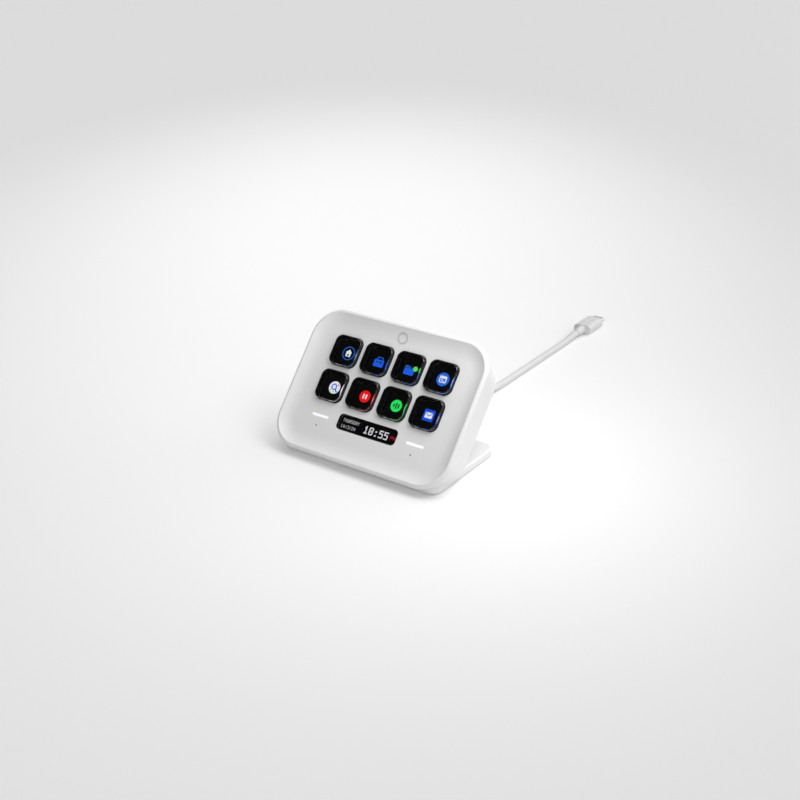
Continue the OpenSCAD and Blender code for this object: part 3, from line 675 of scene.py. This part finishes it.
@dataclass(frozen=True)
class View:
    """The camera at a desk user's front right, looking down at the keypad."""

    place: Point3 = (0.3105, -0.4395, 0.2774)
    forward: Point3 = (-0.514745, 0.748008, -0.418952)
    up: Point3 = (-0.240815, 0.342846, 0.908000)
    lens: float = 52.38
    sensor: float = 36.0
    nearest: float = 0.02
    farthest: float = 60.0

    def build(self) -> Piece:
        """Make the camera and set it as the scene's."""
        data = bpy.data.cameras.new("camera")
        data.lens, data.sensor_width = self.lens, self.sensor
        data.clip_start, data.clip_end = self.nearest, self.farthest
        camera = bpy.data.objects.new("camera", data)
        bpy.context.scene.collection.objects.link(camera)
        back = -Vector(self.forward).normalized()
        right = Vector(self.up).cross(back).normalized()
        up = back.cross(right)
        axes = Matrix((right, up, back)).transposed().to_4x4()
        camera.matrix_world = Matrix.Translation(self.place) @ axes
        bpy.context.scene.camera = camera
        return camera


# -------- lead


@dataclass
class Lead:
    """The captive lead: out of its strain relief, a tied coil, and a straight run to the plug."""

    length: float = 1.39
    diameter: float = 4.0
    round_steps: int = 5
    along_steps: int = 3
    coil_x: float = -22.0
    coil_y: float = 72.0
    coil_outer: float = 30.0
    coil_low: float = 2.6
    turns: int = 4
    steps: int = 28
    strap_fit: float = 0.6
    strap_lift: float = 0.05
    strap_width: float = 5.8
    strap_thick: float = 0.5
    exit: Point3 = (0.008, 0.0044, 0.0095)

    ROUTE_OUT = (
        (8, 6, 9.5), (8, 15, 9.5), (8, 24.4, 9.5), (8, 29, 9.5), (8, 34, 8.7), (8, 39, 7.3), (8, 44, 5.7),
        (8, 49, 4.3), (8, 54, 3.3), (8, 60, 2.7), (8, 66, 2.6),
    )
    ROUTE_TAIL = (
        (8, 78, 6.6), (8, 83, 6.3), (8, 88, 5.1), (8, 93, 3.5), (8, 98, 2.4), (8, 104, 2), (8, 114, 2),
        (8, 124, 2), (8, 134, 2), (8, 144, 2), (8, 154, 2), (8, 164, 2), (8, 174, 2), (8, 184, 2.1),
        (8, 190, 2.6), (8, 195, 3.2), (8, 202, 3.2),
    )

    def coil(self) -> list[Point3]:
        """Return the coil's points: wound inward on the desk, then outward on top of itself."""
        count = self.turns * self.steps
        inner = self.coil_outer - self.turns * self.diameter
        low, high = self.coil_low, self.coil_low + self.diameter
        line = [(self.coil_outer - self.diameter * k / self.steps, k, low) for k in range(count + 1)]
        for k in range(1, self.steps):
            t = k / self.steps
            line.append((inner, count + k, low + self.diameter * t * t * (3 - 2 * t)))
        done = count + self.steps
        for k in range(count + 1):
            line.append((inner + self.diameter * k / self.steps, done + k, high))
        turn = 2 * math.pi / self.steps
        return [
            (self.coil_x + r * math.cos(turn * k), self.coil_y + r * math.sin(turn * k), z)
            for r, k, z in line
        ]

    def build(self) -> Piece:
        """Make the lead as one curve along its whole route."""
        points = [*self.ROUTE_OUT, *self.coil(), *self.ROUTE_TAIL]
        data = bpy.data.curves.new("lead", "CURVE")
        data.dimensions = "3D"
        data.bevel_depth = self.diameter / 2 * MM
        data.bevel_resolution, data.resolution_u = self.round_steps, self.along_steps
        data.use_fill_caps = True
        spline = data.splines.new("NURBS")
        spline.points.add(len(points) - 1)
        for control, p in zip(spline.points, points):
            control.co = (p[0] * MM, p[1] * MM, p[2] * MM, 1)
        spline.order_u = 4
        spline.use_endpoint_u = True
        data.materials.append(LEAD_GREY.material())
        lead = bpy.data.objects.new("lead", data)
        bpy.context.scene.collection.objects.link(lead)
        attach(lead, "housing")
        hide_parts("cord_lead", "cord_coil", "cord_tail")
        return lead

    def strap(self) -> Piece:
        """Make the strap that hugs the turns on the coil's left side."""
        draft = MeshDraft()
        outer = self.coil_x - self.coil_outer - self.strap_fit
        inner = outer + self.turns * self.diameter + 2 * self.strap_fit
        low = self.coil_low - self.diameter / 2 - self.strap_fit + self.strap_lift
        high = self.coil_low + 1.5 * self.diameter + self.strap_fit
        w, h, half = inner - outer, high - low, self.strap_width / 2
        corner, thick = self.diameter / 2 + self.strap_thick, self.strap_thick
        draft.wrap([
            rounded_loop(w - 2 * inset, h - 2 * inset, corner - inset, side, 8)
            for inset, side in ((thick, half), (thick, -half), (0.0, -half), (0.0, half))
        ])
        middle = Matrix.Translation(((outer + inner) / 2, self.coil_y, (high + low) / 2))
        on_edge = Matrix(((1, 0, 0, 0), (0, 0, 1, 0), (0, 1, 0, 0), (0, 0, 0, 1)))
        place = Matrix.Scale(MM, 4) @ middle @ on_edge
        strap = draft.build("lead_strap", [STRAP_DARK.material()], place)
        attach(strap, "housing")
        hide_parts("cord_tie")
        return strap

    def declare(self, lead: Piece, strap: Piece, nodes: dict[str, Piece]) -> None:
        """Read the lead's exit; nothing about the lead or what is on it is declared here.

        Args:
            lead: the lead's curve; not used.
            strap: the strap on its coil; not used.
            nodes: the frame's nodes by name; not used.
        """
        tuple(self.exit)


# -------- keys


@dataclass
class ClearKeys:
    """The eight clear caps, each a rounded block with a flange and a light block below it."""

    width: float = 16.2
    height: float = 16.4
    corner: float = 3.7
    edge: float = 1.0
    flange: float = 1.1
    pipe_in: float = 1.0
    chamfer: float = 0.12
    top_inset: float = 0.3
    edge_steps: int = 8
    corner_steps: int = 12
    printed: int = 8

    def section(self) -> list[Point2]:
        """Return the cap's side from the bottom up, as growth beyond its outline and level."""
        h, e, cut = HEAD, self.edge, self.chamfer
        side = [
            (-self.pipe_in - cut, h.pipe_low), (-self.pipe_in, h.pipe_low + cut),
            (-self.pipe_in, h.flange_low), (self.flange - cut, h.flange_low),
            (self.flange, h.flange_low + cut), (self.flange, h.flange_top - cut),
            (self.flange - cut, h.flange_top), (0.0, h.flange_top),
        ]
        for k in range(self.edge_steps + 1):
            a = math.pi / 2 * k / self.edge_steps
            side.append((-e + e * math.cos(a), h.cap_top - e + e * math.sin(a)))
        side.append((-e - self.top_inset, h.cap_top))
        return side

    def loop(self, grow: float, level: float) -> list[Point3]:
        """Return the cap's outline, grown all round, at a level."""
        w, h = self.width + 2 * grow, self.height + 2 * grow
        return rounded_loop(w, h, self.corner + grow, level, self.corner_steps)

    def build(self, number: int) -> Piece:
        """Make one cap in place of its CAD node; its sides are printed black up to the top edge."""
        x, y = HEAD.key_centre(number)
        draft = MeshDraft()
        rings = [draft.ring(self.loop(grow, level)) for grow, level in self.section()]
        for k, (low, high) in enumerate(zip(rings, rings[1:])):
            draft.bridge(low, high, int(k < self.printed))
        draft.face(rings[0][::-1])
        draft.face(rings[-1])
        materials = [KEY_CLEAR.material(), BORDER_BLACK.material()]
        cap = draft.build(f"clear_key_{number}", materials, HEAD.matrix(x, y))
        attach(cap, f"key_{number}")
        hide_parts(f"key_cap_{number}")
        return cap


# -------- pictures on the displays


class Picture:
    """A flat picture of lit shapes, laid on a display in thin layers."""

    GAP = 0.01
    THICK = 0.02
    STEP = 0.03

    def __init__(self, name: str, at: Point2, level: float) -> None:
        """Start an empty picture.

        Args:
            name: the piece's name.
            at: its centre on the face, in head millimetres.
            level: the display's surface, in head millimetres.
        """
        self.name, self.at, self.level = name, at, level
        self.draft = MeshDraft()
        self.tones: list[Tone] = []
        self.layer = 0

    def slot(self, tone: Tone) -> int:
        """Return the material slot of a tone."""
        if tone not in self.tones:
            self.tones.append(tone)
        return self.tones.index(tone)

    def next_layer(self) -> Point2:
        """Return the lower and the upper level of the next layer."""
        low = self.level + self.GAP + self.STEP * self.layer
        self.layer += 1
        return low, low + self.THICK

    def fill(self, tone: Tone, *outlines: Sequence[Point2]) -> Picture:
        """Lay filled outlines of one tone on top of what is there."""
        levels = self.next_layer()
        for outline in outlines:
            self.draft.loft([[(x, y, z) for x, y in outline] for z in levels], self.slot(tone))
        return self

    def band(self, tone: Tone, outer: Sequence[Point2], inner: Sequence[Point2]) -> Picture:
        """Lay a band between two outlines of as many points."""
        low, high = self.next_layer()
        corners = ((outer, low), (outer, high), (inner, high), (inner, low))
        loops = [[(x, y, z) for x, y in outline] for outline, z in corners]
        self.draft.wrap(loops, self.slot(tone))
        return self

    def build(self) -> Piece:
        """Make the picture as one piece of the housing."""
        materials = [tone.value.material() for tone in self.tones]
        piece = self.draft.build(self.name, materials, HEAD.matrix(*self.at), None)
        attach(piece, "housing")
        return piece


@dataclass
class KeyPictures:
    """The eight key pictures, each a plain sign for what such a key does."""

    shift: float = -0.4

    def start(self, number: int, name: str) -> Picture:
        """Start the picture of one key on the display under it."""
        x, y = HEAD.key_centre(number)
        return Picture(f"picture_{number}_{name}", (x + self.shift, y), HEAD.glass_top)

    def house(self) -> Picture:
        """A white house in a blue ring."""
        walls = [(-1.45, 0.3), (-1.45, -1.85), (1.45, -1.85), (1.45, 0.3)]
        roof = [(2.0, 0.3), (0.0, 2.15), (-2.0, 0.3)]
        return (
            self.start(1, "house")
            .band(Tone.NAVY, disc(3.8), disc(3.2))
            .fill(Tone.WHITE, walls + roof)
            .fill(Tone.DARK, slab(0.95, 1.3, 0.4, (0, -0.95)))
        )

    def bag(self) -> Picture:
        """A blue tool bag with a handle and two dark clasps."""
        return (
            self.start(2, "bag")
            .band(Tone.NAVY, slab(3.9, 2.2, 0.8, (0.2, 1.55)), slab(2.7, 1.1, 0.4, (0.2, 1.55)))
            .fill(Tone.BLUE, slab(5.9, 3.9, 0.6, (0, -0.85)))
            .fill(Tone.DARK, disc(0.5, (-1.05, -0.25)), disc(0.62, (1.2, -0.25)))
        )

    def folder(self) -> Picture:
        """A blue folder with a green dot."""
        back = [(-3.7, -1.6), (2.2, -1.6), (2.2, 1.55), (-0.6, 1.55), (-1.2, 2.3), (-3.7, 2.3)]
        return (
            self.start(3, "folder")
            .fill(Tone.NAVY, back)
            .fill(Tone.BLUE, slab(5.9, 3.7, 0.5, (-0.75, -0.75)))
            .fill(Tone.DARK, slab(5.9, 0.26, 0.12, (-0.75, 1.05)))
            .fill(Tone.LEAF, disc(1.35, (2.5, 1.3)))
        )

    def calendar(self) -> Picture:
        """A white calendar sheet on a blue disc."""
        return (
            self.start(4, "calendar")
            .fill(Tone.SKY, disc(3.55))
            .fill(Tone.WHITE, slab(4.1, 3.6, 0.6))
            .fill(Tone.SKY, slab(3.0, 1.8, 0.3, (0, -0.45)))
            .fill(Tone.WHITE, slab(0.8, 0.5, 0.1, (-0.55, -0.15)), slab(1.5, 0.4, 0.1, (0.2, -0.85)))
        )

    def search(self) -> Picture:
        """A blue magnifier with small coloured dots on a white disc."""
        return (
            self.start(5, "search")
            .fill(Tone.WHITE, disc(3.4))
            .band(Tone.BLUE, disc(1.75, (-0.35, 0.35)), disc(1.1, (-0.35, 0.35)))
            .fill(Tone.BLUE, bar((0.85, -0.85), (2.0, -2.0), 0.75))
            .fill(Tone.RED, disc(0.42, (1.9, 1.75)))
            .fill(Tone.AMBER, disc(0.42, (-1.75, -1.95)))
            .fill(Tone.GREEN, disc(0.42, (0.1, -2.45)))
        )

    def pause(self) -> Picture:
        """Two white pause bars on a red disc."""
        return (
            self.start(6, "pause")
            .fill(Tone.RED, disc(3.2))
            .fill(Tone.WHITE, slab(0.8, 2.5, 0.2, (-0.8, 0)), slab(0.8, 2.5, 0.2, (0.8, 0)))
        )

    def levels(self) -> Picture:
        """Three dark level bars on a green disc."""
        bars = [slab(0.8, h, 0.3, (1.4 * (k - 1), 0)) for k, h in enumerate((1.7, 3.2, 2.3))]
        return self.start(7, "levels").fill(Tone.GREEN, disc(3.2)).fill(Tone.DARK, *bars)

    def letter(self) -> Picture:
        """A white envelope on a blue square."""
        flap = [bar((-1.75, 1.0), (0, -0.25), 0.38), bar((0, -0.25), (1.75, 1.0), 0.38)]
        return (
            self.start(8, "letter")
            .fill(Tone.ROYAL, slab(6.1, 6.1, 0.6))
            .fill(Tone.WHITE, slab(4.2, 3.0, 0.3))
            .fill(Tone.ROYAL, *flap)
        )

    def build(self) -> list[Piece]:
        """Make all eight."""
        upper = (self.house(), self.bag(), self.folder(), self.calendar())
        lower = (self.search(), self.pause(), self.levels(), self.letter())
        return [picture.build() for picture in upper + lower]


class Strokes:
    """Letters and figures made of straight strokes on a cell of 4 by 6."""

    CELL_WIDTH = 4
    CELL_HEIGHT = 6
    CELL_SHARE = 0.62
    CELL: dict[str, tuple[tuple[Point2, ...], ...]] = {
        "0": (
            ((0.6, 0), (3.4, 0), (4, 0.8), (4, 5.2), (3.4, 6), (0.6, 6), (0, 5.2), (0, 0.8), (0.6, 0)),
            ((2, 2.6), (2, 3.4)),
        ),
        "1": (((0.7, 4.8), (2, 6), (2, 0)), ((0.6, 0), (3.4, 0))),
        "2": (((0, 5), (0.8, 6), (3.2, 6), (4, 5), (4, 4), (0, 0), (4, 0)),),
        "3": (((0, 6), (4, 6), (2, 3.6), (3.4, 3.4), (4, 2.4), (4, 1), (3.2, 0), (0.8, 0), (0, 0.8)),),
        "4": (((3, 0), (3, 6), (0, 2), (4, 2)),),
        "5": (((4, 6), (0.2, 6), (0.2, 3.5), (3.2, 3.5), (4, 2.8), (4, 0.8), (3.2, 0), (0, 0)),),
        "A": (((0, 0), (0, 4.4), (1.2, 6), (2.8, 6), (4, 4.4), (4, 0)), ((0, 2.6), (4, 2.6))),
        "D": (((0, 0), (0, 6), (2.8, 6), (4, 4.8), (4, 1.2), (2.8, 0), (0, 0)),),
        "H": (((0, 0), (0, 6)), ((4, 0), (4, 6)), ((0, 3), (4, 3))),
        "M": (((0, 0), (0, 6), (2, 3.4), (4, 6), (4, 0)),),
        "P": (((0, 0), (0, 6), (3.2, 6), (4, 5.2), (4, 3.6), (3.2, 2.8), (0, 2.8)),),
        "R": (((0, 0), (0, 6), (3.2, 6), (4, 5.2), (4, 3.8), (3.2, 3), (0, 3)), ((2, 3), (4, 0))),
        "S": (
            ((4, 5.2), (3.2, 6), (0.8, 6), (0, 5.2), (0, 3.8), (0.8, 3.1)),
            ((0.8, 3.1), (3.2, 2.9), (4, 2.2), (4, 0.8), (3.2, 0), (0.8, 0), (0, 0.8)),
        ),
        "T": (((0, 6), (4, 6)), ((2, 6), (2, 0))),
        "U": (((0, 6), (0, 0.8), (0.8, 0), (3.2, 0), (4, 0.8), (4, 6)),),
        "Y": (((0, 6), (2, 3.2), (4, 6)), ((2, 3.2), (2, 0))),
        "/": (((0.4, 0), (3.6, 6)),),
        ":": tuple(((1.7, y), (2.3, y)) for y in (0.0, 0.4, 3.7, 4.1)),
    }

    @classmethod
    def line(cls, text: str, at: Point2, width: float, height: float, weight: float) -> list[list[Point2]]:
        """Return the outlines of a line of text.

        Args:
            text: its characters, all of them in CELL or spaces.
            at: its lower left corner.
            width: width of the whole line.
            height: height of a character.
            weight: thickness of the strokes.

        Returns:
            One outline for each straight stroke.
        """
        step = width / len(text)
        wide, tall = step * cls.CELL_SHARE / cls.CELL_WIDTH, (height - weight) / cls.CELL_HEIGHT
        outlines = []
        for k, character in enumerate(text):
            x = at[0] + k * step + weight / 2
            for path in cls.CELL.get(character, ()):
                spots = [(x + px * wide, at[1] + weight / 2 + py * tall) for px, py in path]
                outlines += [bar(a, b, weight) for a, b in zip(spots, spots[1:])]
        return outlines


@dataclass
class InfoPicture:
    """The info bar's picture: weekday and date at the left, the time in large figures, a red tag."""

    small: float = 1.7
    large: float = 4.0
    thin: float = 0.15
    thick: float = 0.58

    def build(self) -> Piece:
        """Make the picture on the info display."""
        picture = Picture("info_picture", (0.0, HEAD.bar_y), HEAD.info_top)
        day = Strokes.line("THURSDAY", (-15.8, 0.6), 10.2, self.small, self.thin)
        date = Strokes.line("14/3/24", (-16.0, -2.6), 9.3, self.small, self.thin)
        clock = Strokes.line("10:55", (-2.1, -2.2), 15.2, self.large, self.thick)
        half = Strokes.line("PM", (14.0, -1.15), 3.4, self.small, 2 * self.thin)
        picture.fill(Tone.GREY, *day, *date).fill(Tone.BRIGHT, *clock).fill(Tone.RUBY, *half)
        return picture.build()


# -------- touch points


@dataclass
class TouchPoints:
    """A small dark inlay at the bottom of each touch point's dimple."""

    shift: float = -0.55
    radius: float = 0.48
    level: float = -3.0
    sides: int = 28

    # Share of the radius and height above the level, from the bottom up to the hollow top.
    SECTION: ClassVar[tuple[Point2, ...]] = ((1.0, 0.0), (1.0, 0.06), (0.85, 0.12), (0.4, 0.1))

    def build(self) -> list[Piece]:
        """Make both inlays."""
        made = []
        for side, name in ((-1, "left"), (1, "right")):
            draft = MeshDraft()
            draft.loft([
                [(x, y, self.level + z) for x, y in disc(self.radius * share, sides=self.sides)]
                for share, z in self.SECTION
            ])
            place = HEAD.matrix(side * HEAD.light_x + self.shift, HEAD.touch_y)
            inlay = draft.build(f"touch_inlay_{name}", [TOUCH_DARK.material()], place)
            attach(inlay, "housing")
            made.append(inlay)
        return made


# -------- finishes of the CAD nodes


class NodeFinishes:
    """Gives each CAD node that stays its finish."""

    TABLE: dict[Finish, str] = {
        SHELL_WHITE: "front_shell rear_shell",
        FOOT_WHITE: "base_shell",
        RING_SATIN: "face_ring",
        FOOT_RUBBER: "base_pad",
        ZINC_STEEL: "base_weight base_screws carrier_screws board_screws clamp_screws",
        SILICONE_DARK: "dome_sheet touch_pads inner_lead",
        BOARD_BLACK: "key_board",
        BOARD_GREEN: "touch_board_left touch_board_right main_board",
        CHIP_BLACK: "main_board_chips",
        DISPLAY_BLACK: "display_glass info_display",
        BACKLIGHT_WHITE: "display_backlight",
        DARK_MOULDING: "display_carrier lead_clamp",
        FILM_AMBER: "display_ribbon",
        PANE_CLEAR: "info_window",
        LIGHT_GUIDE: "light_guide_left light_guide_right",
        LEAD_GREY: "lead_boot",
        PLUG_GREY: "plug_body",
        PLUG_STEEL: "plug_shell",
    }

    @classmethod
    def dress(cls, nodes: dict[str, Piece]) -> None:
        """Set the material of every node in the table."""
        for finish, names in cls.TABLE.items():
            for name in names.split():
                mesh = nodes[name].data
                mesh.materials.clear()
                mesh.materials.append(finish.material())


# -------- studio


@dataclass(frozen=True)
class Lamp:
    """One soft lamp: a square panel, or a far one that is only a direction."""

    name: str
    place: Point3
    size: float
    power: float
    far: bool = False

    AIM: ClassVar[Point3] = (0.0, 0.0, 0.03)

    def build(self) -> Piece:
        """Make the lamp, aimed at the keypad."""
        data = bpy.data.lights.new(self.name, "SUN" if self.far else "AREA")
        data.energy = self.power
        if self.far:
            data.angle = math.radians(self.size)
        else:
            data.shape, data.size = "SQUARE", self.size
        lamp = bpy.data.objects.new(self.name, data)
        bpy.context.scene.collection.objects.link(lamp)
        lamp.location = self.place
        lamp.visible_camera = False
        lamp.rotation_mode = "QUATERNION"
        lamp.rotation_quaternion = (Vector(self.AIM) - Vector(self.place)).to_track_quat("-Z", "Y")
        return lamp


@dataclass
class Studio:
    """A pale floor with a painted pool of light, a pale sky with one dim side, and soft lamps."""

    sky_level: float = 0.56
    dim_level: float = 0.03
    dim_side: Point3 = (-0.56, -0.57, 0.6)
    dim_from: float = 0.35
    dim_full: float = 0.88
    backdrop: float = 0.76
    floor_level: float = 0.76
    floor_reach: float = 20.0
    floor_thick: float = 0.02
    # The painted pool of light on the floor: an oval glow, seen by the camera, in mirrors and through glass,
    # that lights nothing.
    pool: Point3 = (-0.2595, 0.3279, 0.0)
    pool_turn: float = 34.5
    pool_size: Point2 = (0.393, 0.677)
    pool_heart: float = 0.1
    pool_edge: float = 1.1
    painted_pool_level: float = 0.335
    painted_pool_rest: float = 0.09
    lamps: tuple[Lamp, ...] = (
        Lamp("lamp_back_right", (0.49, 0.59, 0.64), 60.0, 0.95, far=True),
        Lamp("lamp_back_left", (-0.59, 0.49, 0.64), 60.0, 0.06, far=True),
        Lamp("lamp_above", (0.0, 0.0, 1.03), 60.0, 0.72, far=True),
        Lamp("lamp_front_low", (0.17, -0.96, 0.24), 50.0, 0.48, far=True),
        Lamp("lamp_near", (0.088, -0.003, 0.18), 0.1, 0.125),
    )

    def floor(self) -> Piece:
        """Make the floor, whose painted pool of light glows palest in an oval behind the keypad."""
        draft = MeshDraft()
        far = self.floor_reach
        corners = ((-far, -far), (far, -far), (far, far), (-far, far))
        draft.loft([[(x, y, z) for x, y in corners] for z in (-self.floor_thick, 0.0)])
        made = bpy.data.materials.new("floor_painted_pool")
        made.use_nodes = True
        wire = Wiring(made.node_tree)
        # Painted pool of light: glow on the floor only where it is seen, never lighting the keypad.
        painted_glow = wire.math("MULTIPLY", self.painted_light_pool(wire), self.looked_at(wire))
        wire.into(
            made.node_tree.nodes["Principled BSDF"],
            Base_Color=rgba((self.floor_level,) * 3), Roughness=0.9, Specular_IOR_Level=0.1,
            Emission_Color=rgba(PLAIN_WHITE), Emission_Strength=painted_glow,
        )
        floor = draft.build("floor", [made], None, None)
        floor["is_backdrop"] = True
        return floor

    def painted_light_pool(self, wire: Wiring) -> Socket:
        """Return the glow of the painted pool of light, which fades out along an oval."""
        oval = wire.add(
            "Mapping", wire.add("TexCoord").outputs["Object"], setup={"vector_type": "TEXTURE"},
            Location=self.pool, Rotation=(0, 0, math.radians(self.pool_turn)), Scale=(*self.pool_size, 1),
        )
        away = wire.vector("LENGTH", oval.outputs["Vector"], out="Value")
        return wire.remap(
            away, self.pool_heart, self.pool_edge, self.painted_pool_level, self.painted_pool_rest, smooth=True
        )

    @staticmethod
    def looked_at(wire: Wiring) -> Socket:
        """Return a mask of what is seen straight, in a mirror or through glass, and lights nothing."""
        rays = wire.add("LightPath").outputs
        seen = wire.math("MAXIMUM", rays["Is Camera Ray"], rays["Is Glossy Ray"])
        return wire.math("MAXIMUM", seen, rays["Is Transmission Ray"])

    def sky(self) -> None:
        """Set the world: pale all round, dim towards one side, plain where the camera sees it."""
        world = bpy.data.worlds.new("pale")
        bpy.context.scene.world = world
        world.use_nodes = True
        wire = Wiring(world.node_tree)
        place = wire.add("TexCoord").outputs["Generated"]
        side = wire.vector("DOT_PRODUCT", place, Vector(self.dim_side).normalized(), out="Value")
        level = wire.remap(
            side, self.dim_from, self.dim_full, self.sky_level, self.dim_level, smooth=True
        )
        straight = wire.add("LightPath").outputs["Is Camera Ray"]
        shown = wire.add("Mix", Factor=straight, A=level, B=self.backdrop).outputs["Result"]
        ground = world.node_tree.nodes["Background"]
        wire.into(ground, Color=rgba(PLAIN_WHITE), Strength=shown)

    def build(self) -> None:
        """Make floor, sky and lamps."""
        bpy.context.scene.view_settings.view_transform = "Standard"
        self.floor()
        self.sky()
        for lamp in self.lamps:
            lamp.build()


# -------- all of it


def main() -> tuple[Vector, Vector]:
    """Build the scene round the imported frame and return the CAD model's box."""
    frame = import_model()
    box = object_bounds()
    nodes = frame["nodes"]
    View().build()
    lead = Lead()
    made = [lead.build(), lead.strap()]
    lead.declare(*made, nodes)
    NodeFinishes.dress(nodes)
    keys = ClearKeys()
    made += [keys.build(number) for number in range(1, KEY_COUNT + 1)]
    made += [*KeyPictures().build(), InfoPicture().build(), *TouchPoints().build()]
    for piece in made:
        log.info(piece.name)
    Studio().build()
    return box


if __name__ == "__main__":
    logging.basicConfig(level=logging.INFO, format="%(message)s")
    main()
